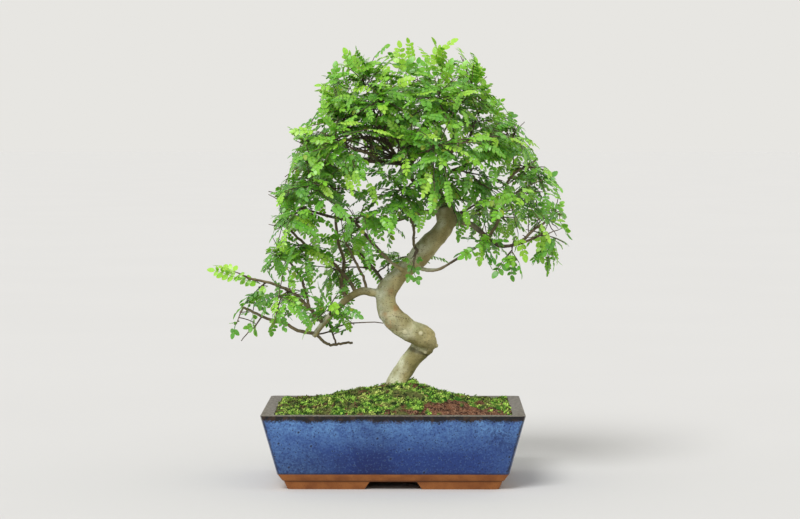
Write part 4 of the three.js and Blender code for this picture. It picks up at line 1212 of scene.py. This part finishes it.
# %% Leaves that stand alone in the outline
# For each spray its leaves: where a leaf's foot and tip are, its tint, and where its upper face looks
FRONT = (0, -0.75, 0.66)
SKYWARD = (0.05, -0.1, 1)
SIDEWAYS = (-0.9, -0.1, 0.4)
MEASURED_LEAVES = {
    "far_left_shoot": [
        ((-142, -60, 218), (-169, -62, 226), 0.72, FRONT), ((-166, -62, 224), (-197, -66, 236), 0.88, FRONT),
    ],
    "low_left_tip": [
        ((-169, -54, 174), (-173, -56, 157), 0.3, FRONT), ((-154, -50, 187), (-164, -54, 184), 0.4, SKYWARD),
        ((-165, -52, 177), (-177, -50, 174), 0.35, SKYWARD), ((-147, -48, 173), (-162, -52, 169), 0.5, FRONT),
    ],
    "low_left_upright": [
        ((-130, -44, 183), (-128, -50, 171), 0.75, FRONT),
    ],
    "left_hanging": [
        ((-144, -56, 214), (-143, -54, 188), 0.5, FRONT), ((-134, -58, 215), (-144, -62, 210), 0.8, FRONT),
    ],
    "left_inner_tip": [
        ((-115, -34, 252), (-132, -40, 257), 0.3, SKYWARD),
    ],
    "big_left_tip": [
        ((-97, -44, 378), (-112, -48, 380), 0.5, FRONT),
    ],
    "big_left_low": [
        ((-104, -22, 360), (-115, -26, 350), 0.3, SKYWARD),
    ],
    "left_leader_left": [
        ((-61, -24, 433), (-64, -22, 455), 0.5, FRONT), ((-65, -30, 429), (-84, -34, 430), 0.85, FRONT),
        ((-64, -22, 438), (-79, -24, 440), 0.2, SKYWARD), ((-61, -34, 417), (-79, -40, 406), 0.55, SKYWARD),
    ],
    "left_leader_tip": [
        ((-44, -20, 451), (-54, -22, 469), 0.85, FRONT),
    ],
    "leader_left": [
        ((5, 0, 443), (8, 2, 479), 1.0, FRONT),
    ],
    "leader_back": [
        ((11, 30, 440), (19, 30, 462), 0.6, FRONT), ((23, 30, 436), (27, 30, 461), 0.45, FRONT),
        ((34, 30, 436), (36, 30, 462), 0.7, FRONT), ((26, 30, 444), (14, 30, 458), 0.5, FRONT),
    ],
    "leader_front": [
        ((39, -45, 437), (30, -45, 456), 0.55, FRONT), ((57, -45, 439), (62, -45, 458), 0.6, FRONT),
        ((69, -45, 439), (77, -45, 456), 0.7, FRONT),
    ],
    "leader_tip": [
        ((48, 2, 442), (43, 0, 471), 1.0, FRONT), ((46, 2, 463), (67, 4, 483), 1.0, FRONT),
    ],
    "leader_right": [
        ((90, -4, 429), (90, -6, 461), 0.8, FRONT), ((101, -6, 411), (97, -12, 436), 0.85, FRONT),
        ((100, -8, 407), (110, -10, 418), 0.7, FRONT),
    ],
    "right_upper_tip": [
        ((118, -14, 395), (135, -18, 397), 0.15, FRONT), ((132, -14, 388), (150, -20, 368), 0.4, SKYWARD),
    ],
    "right_mid_tip": [
        ((135, 8, 346), (160, 6, 344), 0.4, SKYWARD), ((158, 6, 318), (176, 2, 337), 0.3, FRONT),
    ],
    "right_far_tip": [
        ((159, -26, 284), (184, -28, 287), 0.95, SKYWARD), ((179, -24, 283), (190, -28, 263), 0.6, SIDEWAYS),
        ((173, 2, 291), (168, 12, 305), 0.7, FRONT), ((176, 2, 293), (184, 14, 305), 0.7, FRONT),
        ((154, -14, 306), (160, -20, 285), 0.15, SIDEWAYS),
    ],
    "right_thick_tip": [
        ((158, -37, 271), (158, -44, 239), 0.85, FRONT), ((165, -36, 265), (175, -38, 234), 0.7, SIDEWAYS),
    ],
    "right_hanging": [
        ((132, -40, 268), (144, -48, 242), 0.9, FRONT), ((125, -46, 250), (126, -48, 219), 0.25, FRONT),
    ],
    "right_low_tip": [
        ((92, -36, 254), (93, -38, 236), 0.85, FRONT), ((99, -38, 254), (103, -38, 230), 0.4, SIDEWAYS),
        ((104, -44, 263), (89, -54, 257), 0.5, FRONT), ((83, -34, 252), (73, -40, 248), 0.9, FRONT),
    ],
    "front_twig_low": [
        ((20, -24, 239), (15, -28, 228), 0.35, FRONT), ((21, -26, 236), (28, -29, 225), 0.3, FRONT),
        ((19, -26, 230), (14, -29, 216), 0.45, FRONT), ((22, -26, 227), (28, -30, 214), 0.4, FRONT),
        ((19, -22, 243), (9, -26, 240), 0.5, FRONT), ((22, -22, 242), (31, -26, 241), 0.3, FRONT),
    ],
}
SMALLEST, LARGEST = 0.75, 1.35


def measured_rows(name, stems):
    """A spray's single leaves, each with a fine stalk from the nearest place on the spray's stems."""
    rows, stalks = [], []
    nodes = np.concatenate(stems)
    for foot, tip, tint, face in MEASURED_LEAVES.get(name, ()):
        foot, tip = np.array(foot, dtype=float), np.array(tip, dtype=float)
        root = nodes[np.argmin(np.linalg.norm(nodes - foot, axis=1))]
        ahead, length = unit(tip - foot), np.linalg.norm(tip - foot)
        kind = min(range(len(GROWN), len(KINDS)), key=lambda k: abs(leaf_length(k) - length))
        size = min(LARGEST, max(SMALLEST, length / leaf_length(kind)))
        turn = turn_of(ahead, np.array(face) + 0.3 * unit(foot - root + 1e-6))
        rows.append((foot, turn, size, kind, tint))
        bow = (root + foot) / 2 - ahead * 0.25 * np.linalg.norm(foot - root)
        stalks.append(arched(root, bow, foot, 6))
    return rows, stalks


print(sum(map(len, MEASURED_LEAVES.values())), "leaves stand alone in the outline")


# %% Sprays as pieces
# Radii of the green stems at their feet and ends
MAIN_STEM, SIDE_STEM, STALK = (0.8, 0.45), (0.62, 0.45), (0.6, 0.42)


def spray_seed(stems, rows):
    """Stem lines and leaf points in one mesh, with the attributes that the spray's node tree reads."""
    seed = network("spray_seed", stems)
    first = len(seed.vertices)
    seed.vertices.add(len(rows))
    for k, row in enumerate(rows):
        seed.vertices[first + k].co = row[0] * MM
    held = {"turn": ([1.0, 0.0, 0.0, 0.0], "QUATERNION"), "size": (0.0, "FLOAT"), "kind": (0, "INT"),
            "tint": (0.4, "FLOAT")}
    for place, (name, (on_stems, sort)) in enumerate(held.items(), start=1):
        set_attribute(seed, name, [on_stems] * first + [row[place] for row in rows], sort)
    return seed


def drawn_stems(main, rise, reach, count, taken, draw):
    """Side stems drawn one after another, each into the widest room left, and where each of them ends."""
    stems, ends = [], []
    for _ in range(count):
        stem = side_stem(main, rise, reach, taken, draw)
        if stem is not None:
            stems.append(stem)
            ends.append(stem[-1] + unit(stem[-1] - stem[0]) * 0.5 * LEAF_REACH)
            taken = np.concatenate([taken, [ends[-1]]])
    return stems, ends


def make_spray(name, number, taken):
    """Builds one spray and returns where its side stems end, and its number of leaves and faces."""
    draw = np.random.default_rng(1000 + number)
    branch, share, tip, rise, leaves = SPRAYS[name]
    young = name in NEW_GROWTH
    height = "high" if tip[2] > HIGH else "low"
    main = spray_line(branch, share, tip)
    green = main[GREEN_START:]
    loose = leaves <= LOOSE and not young
    kinds = YOUNG_KINDS if young else LOOSE_KINDS if loose else (0, len(GROWN))
    # Sprays at the crown's top are tinted paler, as painted light
    shade = YOUNG_SHADE if young else SHADE + HIGH_SHADE * (tip[2] > HIGHEST)
    look = SimpleNamespace(kinds=kinds, shade=shade, free=young)
    leaves = leaves if young else round(leaves * FULLNESS[height])
    drawn = 0 if young or not leaves else max(1, round(leaves / LEAVES_PER_STEM) - 1)
    shared = [] if young else shared_shoots(green, rise, SHARED_REACH[height])
    side_stems, ends = drawn_stems(main, rise, REACH[height], drawn, taken, draw)
    stems = [green, *shared, *side_stems]
    lengths = [np.linalg.norm(stem[-1] - stem[0]) + 8 for stem in stems]
    rows, leafy = [], []
    for stem, length in zip(stems, lengths):
        count = max(1 if loose else 2, round(leaves * length / sum(lengths))) if leaves else 0
        more = leaves_along(stem, count, rise, look, draw)
        rows += more
        leafy += [stem] if more else []
    leafy = leafy or [green]
    measured, stalks = measured_rows(name, leafy)
    girths = [MAIN_STEM] + [SIDE_STEM] * (len(leafy) - 1) + [STALK] * len(stalks)
    lines = [(line, np.linspace(*girth, len(line)), 0.0) for line, girth in zip(leafy + stalks, girths)]
    seed = spray_seed(lines, rows + measured)
    mesh = grow(f"leaves_{name}", seed, SPRAY, kinds=LEAF_KINDS, wood=BARK, sides=4)
    piece = show(f"leaves_{name}", mesh)
    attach(piece, BODY)
    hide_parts(f"spray_{name}")
    mesh.calc_loop_triangles()
    return ends, len(rows) + len(measured), len(mesh.loop_triangles)


taken = np.array([spray[2] for spray in SPRAYS.values()], dtype=float)
leaf_total = face_total = 0
for number, name in enumerate(SPRAYS):
    ends, leaves, faces = make_spray(name, number, taken)
    taken = np.concatenate([taken, ends]) if ends else taken
    leaf_total += leaves
    face_total += faces
print(len(SPRAYS), "sprays with", leaf_total, "leaves and", face_total, "triangles")

# %% [markdown]
# The ground. Soil fills the tray to just under its rim and heaps up round the trunk, and moss covers most
# of it. Both are height fields over the same rule as the solid model's. The moss is pressed under the
# soil where the soil lies bare, so one closed mesh has the ragged outline of many cushions.

# %% Ground shape
GROUND_TOP = (124.6, 89.6)
GROUND_FLOOR = (109.2, 74.2)
EDGE_HEIGHT = 76.5
FLOOR_HEIGHT = 16.3
MOUND_HEIGHT, MOUND_REACH, MOUND_STRETCH, MOUND_CUT = 24, 72, 1.3, 0.14
ROOT_HEIGHT, ROOT_REACH, ROOT_X, ROOT_Y = 10, 22, 14, 2
# Ripples: their height, how many fit along a mm, and a salt that makes each of them different
RAGGED = ((0.6, 0.05, 1), (0.62, 0.13, 5))
GRIT = ((0.9, 0.35, 2), (0.6, 0.9, 8))
CUSHIONS = ((2.4, 0.1, 3), (2.4, 0.22, 6))
# Where the soil lies bare: the middle in x and y, half sizes, and how bare
BARE_SPOTS = [(80, -62, 46, 46, 1.05), (8, -80, 34, 20, 0.42), (-88, -82, 26, 16, 0.3)]
MOSS_COVER = 0.78
MOSS_EDGE, MOSS_STEEP, MOSS_THICK, MOSS_SUNK = 0.42, 11, 4.2, -2.5


def soil_height(x, y):
    """The soil's height in mm at a place in mm, as in the solid model."""
    away = math.hypot(x / MOUND_STRETCH, y - ROOT_Y)
    near = math.hypot(x - ROOT_X, y - ROOT_Y)
    broad = MOUND_HEIGHT * (math.exp(-((away / MOUND_REACH) ** 2)) - MOUND_CUT)
    return EDGE_HEIGHT + max(0, broad) + ROOT_HEIGHT * math.exp(-((near / ROOT_REACH) ** 2))


def rippled(x, y, ripples):
    """Smooth random values of several sizes, added up."""
    return sum(height * noise.noise(Vector((x * waves, y * waves, salt))) for height, waves, salt in ripples)


def moss_cover(x, y):
    """How fully moss covers a place, from 0 for bare soil to 1."""
    cover = MOSS_COVER + rippled(x, y, RAGGED)
    for middle_x, middle_y, half_x, half_y, bare in BARE_SPOTS:
        cover -= bare * math.exp(-(((x - middle_x) / half_x) ** 2) - ((y - middle_y) / half_y) ** 2)
    return clamp(cover)


def height_field(name, step, top, low, spread):
    """A closed slab: its top follows a rule, and its flat underside, at height low, spreads by a share."""
    half_x, half_y = GROUND_TOP
    columns, rows = round(2 * half_x / step), round(2 * half_y / step)
    wide = columns + 1
    corners = []
    for j in range(rows + 1):
        for i in range(wide):
            x, y = half_x * (2 * i / columns - 1), half_y * (2 * j / rows - 1)
            corners.append((x * MM, y * MM, top(x, y) * MM))
    front, right = list(range(wide)), [k * wide + columns for k in range(1, rows + 1)]
    back, left = range(columns - 1, -1, -1), range(rows - 1, 0, -1)
    rim = front + right + [rows * wide + i for i in back] + [k * wide for k in left]
    first = len(corners)
    corners += [(corners[k][0] * spread, corners[k][1] * spread, low * MM) for k in rim]
    faces = [
        (j * wide + i, j * wide + i + 1, (j + 1) * wide + i + 1, (j + 1) * wide + i)
        for j in range(rows) for i in range(columns)
    ]
    turn = len(rim)
    faces += [(rim[(k + 1) % turn], rim[k], first + k, first + (k + 1) % turn) for k in range(turn)]
    faces.append([first + k for k in reversed(range(turn))])
    mesh = new_mesh(name, corners, faces)
    mesh.shade_smooth()
    return mesh


def soil_top(x, y):
    return soil_height(x, y) + rippled(x, y, GRIT)


def moss_top(x, y):
    """Cushions where moss covers the soil, and a little under the soil elsewhere."""
    thick = (moss_cover(x, y) - MOSS_EDGE) * MOSS_STEEP
    cushions = rippled(x, y, CUSHIONS) if thick > 0.5 else 0
    return soil_height(x, y) + max(MOSS_SUNK, min(MOSS_THICK, thick) + cushions)


soil_mesh = height_field("soil_ground", 2.2, soil_top, FLOOR_HEIGHT, GROUND_FLOOR[0] / GROUND_TOP[0])
moss_mesh = height_field("moss_carpet", 2.0, moss_top, EDGE_HEIGHT - 5, 0.99)
print("ground:", len(soil_mesh.polygons), "and", len(moss_mesh.polygons), "faces")

# %% [markdown]
# Soil and moss. The soil is reddish brown, with grains of several tones. The moss runs from deep green
# in its clefts to yellow tips, with a few olive and russet cushions where it has dried.


# %% Finishes: soil and moss
def make_soil_finish():
    soil = Finish("soil", roughness=0.95, specular_ior_level=0.15)
    base = blend(soil.patches(120, 0.4, 0.62), (0.05, 0.02, 0.012), (0.2, 0.085, 0.045))
    own = blend(soil.stored("tint"), base, (0.34, 0.19, 0.115))
    dark = blend(soil.patches(700, 0.56, 0.66), own, (0.03, 0.016, 0.01))
    soil.use(base_color=dark, normal=soil.bumped(soil.patches(900, 0.3, 0.7), 0.6, 0.0008))
    return soil.material


def make_moss_finish():
    moss = Finish("moss", roughness=0.8, specular_ior_level=0.2)
    fresh = blend(moss.stored("tint"), (0.035, 0.14, 0.014), (0.5, 0.82, 0.12))
    yellow = blend(moss.stored("tint"), (0.1, 0.18, 0.02), (0.8, 0.9, 0.24))
    clumps = blend(moss.patches(75, 0.46, 0.6), fresh, yellow)
    olive = blend(moss.patches(36, 0.5, 0.62), clumps, (0.15, 0.16, 0.05))
    russet = blend(moss.patches(58, 0.58, 0.63), olive, (0.19, 0.09, 0.05))
    deep = blend(moss.patches(150, 0.53, 0.62), russet, (0.025, 0.046, 0.012))
    moss.use(base_color=deep, normal=moss.bumped(moss.patches(800, 0.3, 0.7), 0.5, 0.0006))
    return moss.material


SOIL = make_soil_finish()
MOSS = make_moss_finish()
print("soil and moss finishes ready")

# %% [markdown]
# What lies on the ground: grains of soil where it is bare, and the tiny leafy shoots of the moss. Both
# are small shapes scattered on a surface, so one node tree serves both. It reads how thickly they grow
# from an attribute on the surface, stands each one up along the surface's normal and spins it.


# %% Node tree: scatter
TILT, SPIN = 0.5, 6.283


def scatter_tree():
    tree, given = geometry_tree(
        "scatter", piece="Object", spacing="Float", density="Float", smallest="Float", largest="Float",
        seed="Int", material="Material",
    )
    seed = given["seed"]
    inputs = {"Mesh": given["Geometry"], "Distance Min": given["spacing"], "Density Max": given["density"],
              "Density Factor": attribute(tree, "cover"), "Seed": seed}
    points = put(tree, "GeometryNodeDistributePointsOnFaces", inputs, distribute_method="POISSON").outputs
    inputs = {0: (-TILT, -TILT, 0.0), 1: (TILT, TILT, SPIN), "Seed": seed}
    spin = flow(tree, "FunctionNodeRandomValue", inputs, data_type="FLOAT_VECTOR")
    inputs = {0: points["Rotation"], 1: spin}
    turned = flow(tree, "FunctionNodeRotateRotation", inputs, rotation_space="LOCAL")
    size = random_value(tree, given["smallest"], given["largest"], seed)
    own = random_value(tree, 0.0, 1.0, seed + 77)
    strewn = placed(tree, points[0], given["piece"], turned, size, "tint", own)
    return finish_tree(tree, strewn, given["material"])


SCATTER = scatter_tree()
print("node tree ready:", SCATTER.name)


# %% Grain and moss shoot
def grain_object():
    """A small uneven stone, a little flat."""
    box = bmesh.new()
    bmesh.ops.create_icosphere(box, subdivisions=1, radius=1.0)
    for k, vertex in enumerate(box.verts):
        vertex.co *= 0.85 + 0.3 * math.sin(k * 2.7)
        vertex.co.z *= 0.75
    mesh = bpy.data.meshes.new("grain")
    box.to_mesh(mesh)
    box.free()
    return bpy.data.objects.new("grain", mesh)


def shoot_object(blades=5):
    """A rosette of pointed leaves, each a slim closed wedge of six faces."""
    corners, faces = [], []
    for k in range(blades):
        turn = 2 * math.pi * k / blades + 0.3 * (k % 2)
        out = np.array([math.cos(turn), math.sin(turn), 0])
        side = np.array([-out[1], out[0], 0])
        up = np.array([0, 0, 0.5 + 0.6 * (k % 2)])
        wide = out * 0.62 + up * 0.6
        under, tip = out * 0.55 + up * 0.36, out * 1.1 + up * 0.7
        first = len(corners)
        corners += [out * 0.1, wide + side * 0.34, wide - side * 0.34, tip, under]
        rows = [(0, 2, 1), (1, 2, 3), (0, 1, 4), (1, 3, 4), (3, 2, 4), (2, 0, 4)]
        faces += [[first + n for n in row] for row in rows]
    return bpy.data.objects.new("shoot", new_mesh("shoot", corners, faces))


grain = grain_object()
shoot = shoot_object()
print("grain", len(grain.data.polygons), "faces, shoot", len(shoot.data.polygons), "faces")


# %% Soil and moss as pieces
def cover_of(mesh, rule):
    """Stores on each point how thickly things grow there, and nothing on the sides and under it."""
    rows = [rule(moss_cover(v.co.x / MM, v.co.y / MM)) if v.normal.z > 0.2 else 0.0 for v in mesh.vertices]
    set_attribute(mesh, "cover", [clamp(share) for share in rows])


cover_of(soil_mesh, lambda moss_here: 1.6 - 2.2 * moss_here)
cover_of(moss_mesh, lambda moss_here: (moss_here - 0.4) * 5)
grains = grow(
    "grains", soil_mesh.copy(), SCATTER, piece=grain, spacing=1.7 * MM, density=300000.0,
    smallest=0.6 * MM, largest=1.7 * MM, seed=3, material=SOIL,
)
shoots = grow(
    "shoots", moss_mesh.copy(), SCATTER, piece=shoot, spacing=2.02 * MM, density=400000.0,
    smallest=1.4 * MM, largest=2.7 * MM, seed=5, material=MOSS,
)
print("grains:", len(grains.polygons), "faces; moss shoots:", len(shoots.polygons), "faces")
soil = merge("soil_ground", [soil_mesh, grains], SOIL)
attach(soil, BODY)
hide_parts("soil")
moss = merge("moss_carpet", [moss_mesh, shoots], MOSS)
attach(moss, BODY)
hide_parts("moss", "moss_patch")

# %% [markdown]
# The tray. Its form is the solid model's, so a copy of that mesh is merged, its flat faces are joined,
# and a bevel gives it the soft edges of pressed clay. The finish does the rest: a cobalt glaze that
# thins to black under the rim and along the corners, and bare clay below it and on the rim's top.


# %% Tray shape
TRAY_HEIGHT = 81 * MM
GLAZE_END = 17.4 * MM
STEP_HEIGHT = 9.15 * MM


def tray_mesh():
    """The solid tray's mesh with its triangles joined to flat faces."""
    mesh = frame["nodes"]["tray"].data.copy()
    mesh.name = "tray_glazed"
    mesh.materials.clear()
    box = bmesh.new()
    box.from_mesh(mesh)
    bmesh.ops.remove_doubles(box, verts=box.verts, dist=0.01 * MM)
    bmesh.ops.dissolve_limit(box, angle_limit=math.radians(3), verts=box.verts, edges=box.edges)
    box.to_mesh(mesh)
    box.free()
    return mesh


tray = show("tray_glazed", tray_mesh())
soft_edges = tray.modifiers.new("soft_edges", "BEVEL")
soft_edges.width = 0.9 * MM
soft_edges.segments = 3
soft_edges.limit_method = "ANGLE"
soft_edges.angle_limit = math.radians(25)
tray.data.shade_smooth()
print("tray:", len(tray.data.polygons), "faces before its bevel")

# %% [markdown]
# The glaze is built in layers, in the order in which the kiln made them plain: cobalt, powdery pale
# mottling toward the top and the ends, flecks and specks, a patch of dark rings at one end where it
# boiled, and pinholes with pale rings. Last comes the black where it ran thin: in a ragged line under
# the rim, along the corners and at its lower edge.


# %% Parts of the glaze
RIM_BLACK = 6.4 * MM
RIM_FLAT = 1.4 * MM
RIM_HALF = (140 * MM, 105 * MM)
WALL_LEAN = 16.7 / 63.6
# The boiled patch: its middle in x and z, where it fades out, and where it is full
BOILED_AT = (112 * MM, 59 * MM)
BOILED_FADE, BOILED_FULL = 17 * MM, 6 * MM
# The powdery mottling starts and is full at these heights, and at these distances from a middle in x
POWDER_RISE = (38 * MM, 68 * MM)
POWDER_MIDDLE = 22 * MM
POWDER_ENDS = (66 * MM, 136 * MM)
# Two sorts of pinholes: how many there are along a metre, their size within a cell, and a shift
PINHOLES = ((48, 0.075, 0.3), (105, 0.085, 0.9))
CELLS_WITHOUT = 0.62


def corner_lines(glaze, place):
    """1 along the four upright corners, where the glaze ran thin, and 0 on the walls."""
    inset = (TRAY_HEIGHT - place[2]) * WALL_LEAN
    gaps = [half - inset - abs(out) for half, out in zip(RIM_HALF, place)]
    ragged = glaze.patches(130, 0.3, 0.7) * 0.0012 + 0.0022
    return (ragged - gaps[0].math("MAXIMUM", gaps[1])).ramp(-0.001, 0.0015)


def pinholes(glaze, place, scale, size, shift):
    """Round pits of the glaze: a dark middle and the pale ring around it."""
    flat = vector(glaze.tree, place[0] + place[1] + shift, place[2])
    inputs = {"Vector": flat, "Scale": scale, "Randomness": 1.0}
    cells = put(glaze.tree, "ShaderNodeTexVoronoi", inputs, voronoi_dimensions="2D").outputs
    kept = split(glaze.tree, cells["Color"])[0].math("GREATER_THAN", CELLS_WITHOUT)
    away = Value(glaze.tree, cells["Distance"])
    return away.ramp(size, size * 0.55) * kept, away.ramp(size * 2.2, size * 0.9) * kept


def boiled_patch(glaze, place):
    """Where the glaze boiled in the kiln: a patch of dark rings near one end."""
    across, up = (part - middle for part, middle in zip((place[0], place[2]), BOILED_AT))
    away = (across.math("POWER", 2.0) + up.math("POWER", 2.0)).math("SQRT")
    return away.ramp(BOILED_FADE, BOILED_FULL) * glaze.patches(270, 0.44, 0.56, detail=1.0) * 0.62


def glaze_colours(glaze, place):
    """Cobalt, deepest low in the middle, with powdery pale mottling toward the top and the ends."""
    patches = glaze.patches
    cobalt = blend(patches(13, 0.35, 0.65), (0.009, 0.021, 0.115), (0.018, 0.047, 0.2))
    band = patches(17, 0.3, 0.62) * 0.45 + 0.45
    ends = abs(place[0] - POWDER_MIDDLE).ramp(*POWDER_ENDS) * 0.5
    reach = (place[2].ramp(*POWDER_RISE) * band).math("MAXIMUM", ends)
    powder = patches(70, 0.3, 0.7, detail=4.0) * 0.3 + patches(420, 0.36, 0.64, detail=6.0) * 0.42 + 0.16
    misted = blend(reach * powder, cobalt, (0.13, 0.285, 0.55))
    flecked = blend(patches(500, 0.52, 0.7, detail=2.0) * 0.22, misted, (0.13, 0.26, 0.5))
    specked = blend(patches(560, 0.58, 0.66) * 0.8, flecked, (0.01, 0.02, 0.08))
    colour = blend(boiled_patch(glaze, place), specked, (0.01, 0.024, 0.11))
    pits = []
    for scale, size, shift in PINHOLES:
        pit, ring = pinholes(glaze, place, scale, size, shift)
        colour = blend(ring * 0.25, colour, (0.1, 0.2, 0.42))
        colour = blend(pit * 0.9, colour, (0.01, 0.014, 0.045))
        pits.append(pit)
    return colour, pits[0].math("MAXIMUM", pits[1])


def thin_glaze(glaze, place):
    """Where the glaze is thin: in a ragged line under the rim, on the corners and at its lower edge."""
    runs = glaze.patches(40, 0.3, 0.7, detail=2.0) * 0.0026
    dots = glaze.patches(520, 0.3, 0.7, detail=4.0) * 0.0026
    above = place[2] - (TRAY_HEIGHT - RIM_BLACK) - (runs - dots + 0.0012)
    under_rim = above.ramp(-0.0026, 0.0009)
    lower_edge = place[2].ramp(GLAZE_END + 0.0022, GLAZE_END)
    return under_rim.math("MAXIMUM", corner_lines(glaze, place) * 0.9).math("MAXIMUM", lower_edge * 0.7)


def clay_colours(glaze, place):
    """Bare clay: sandy red brown, with a painted shadow in the line where foot and wall meet."""
    patches = glaze.patches
    clay = blend(patches(60, 0.35, 0.68), (0.34, 0.125, 0.036), (0.24, 0.08, 0.024))
    sandy = blend(patches(900, 0.55, 0.7) * 0.5, clay, (0.14, 0.055, 0.025))
    # Painted shadow: a dark line under the step where the wall stands out over the foot
    step_shadow = abs(place[2] - STEP_HEIGHT).ramp(0.0013, 0.0003)
    return blend(step_shadow * 0.62, sandy, (0.05, 0.021, 0.012))


print("black line under the rim:", RIM_BLACK / MM, "mm")


# %% Finish: glaze and clay
def make_glaze():
    glaze = Finish("glaze", roughness=0.3, specular_ior_level=0.25, coat_roughness=0.12)
    patches = glaze.patches
    place = split(glaze.tree, put(glaze.tree, "ShaderNodeTexCoord").outputs["Object"])
    facing = split(glaze.tree, put(glaze.tree, "ShaderNodeNewGeometry").outputs["Normal"])
    colour, pits = glaze_colours(glaze, place)
    burnt = blend(patches(140, 0.45, 0.65), (0.008, 0.007, 0.009), (0.035, 0.02, 0.013))
    glazed = blend(thin_glaze(glaze, place), colour, burnt)
    low = place[2].ramp(GLAZE_END, GLAZE_END - 0.0008)
    walls = blend(low, glazed, clay_colours(glaze, place))
    streaks = patches(320, 0.36, 0.66, detail=5.0, stretch=0.2)
    rim = blend(streaks, (0.085, 0.072, 0.055), (0.2, 0.18, 0.145))
    on_rim = place[2].math("GREATER_THAN", TRAY_HEIGHT - RIM_FLAT) * facing[2].ramp(0.15, 0.6)
    bare = low.math("MAXIMUM", on_rim * 0.6)
    glaze.use(
        base_color=blend(on_rim, walls, rim), roughness=bare * 0.5 + 0.3, coat_weight=(1.0 - bare) * 0.15,
        normal=glaze.bumped(patches(55, 0.3, 0.7) - pits, 0.22, 0.0006),
    )
    return glaze.material


tray.data.materials.append(make_glaze())
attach(tray, BODY)
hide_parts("tray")
print("tray glazed")

# %% [markdown]
# Black plastic netting keeps the soil in over the drain holes. The solid model's two squares are fine
# as they are, so they only get their material.

# %% Netting over the drain holes
netting = Finish("netting", roughness=0.6)
netting.use(base_color=blend(netting.patches(600, 0.4, 0.6), (0.012, 0.012, 0.012), (0.035, 0.035, 0.035)))
for side in ("left", "right"):
    screen = frame["nodes"][f"drain_screen_{side}"]
    screen.data.materials.clear()
    screen.data.materials.append(netting.material)
print("netting done")

# %% [markdown]
# The light is soft and comes from above the front left. A pale floor carries the tree. Lamps would light
# only the floor near the tree and leave a dark band far behind it, so a wide soft sun lights it evenly,
# and the sky is as bright as the lit floor. The floor then runs into the sky without a line.

# %% Floor, lights and sky
SKY_TONE = (0.8, 0.79, 0.76)
SUN_STRENGTH = 2.4
SUN_WIDTH = math.radians(25)
SUN_WAY = Vector((0.4, 0.95, -1.0))
FLOOR = 30.0

ground = Finish("floor", roughness=0.95, specular_ior_level=0.1)
ground.use(base_color=blend(ground.patches(2, 0.3, 0.7), (0.593, 0.59, 0.585), (0.6, 0.597, 0.592)))
corners = [(-FLOOR, -FLOOR, 0), (FLOOR, -FLOOR, 0), (FLOOR, FLOOR, 0), (-FLOOR, FLOOR, 0)]
floor = show("floor", new_mesh("floor", corners, [(0, 1, 2, 3)]), ground.material)

sky = bpy.data.worlds.new("sky")
sky.use_nodes = True
sky.node_tree.nodes["Background"].inputs["Color"].default_value = (*SKY_TONE, 1)
sky.node_tree.nodes["Background"].inputs["Strength"].default_value = 1.0
bpy.context.scene.world = sky

sun_data = bpy.data.lights.new("sun", "SUN")
sun_data.energy = SUN_STRENGTH
sun_data.angle = SUN_WIDTH
sun = bpy.data.objects.new("sun", sun_data)
sun.rotation_euler = SUN_WAY.to_track_quat("-Z", "Y").to_euler()
bpy.context.collection.objects.link(sun)
bpy.context.scene.view_settings.view_transform = "Standard"
print("sun and sky ready")
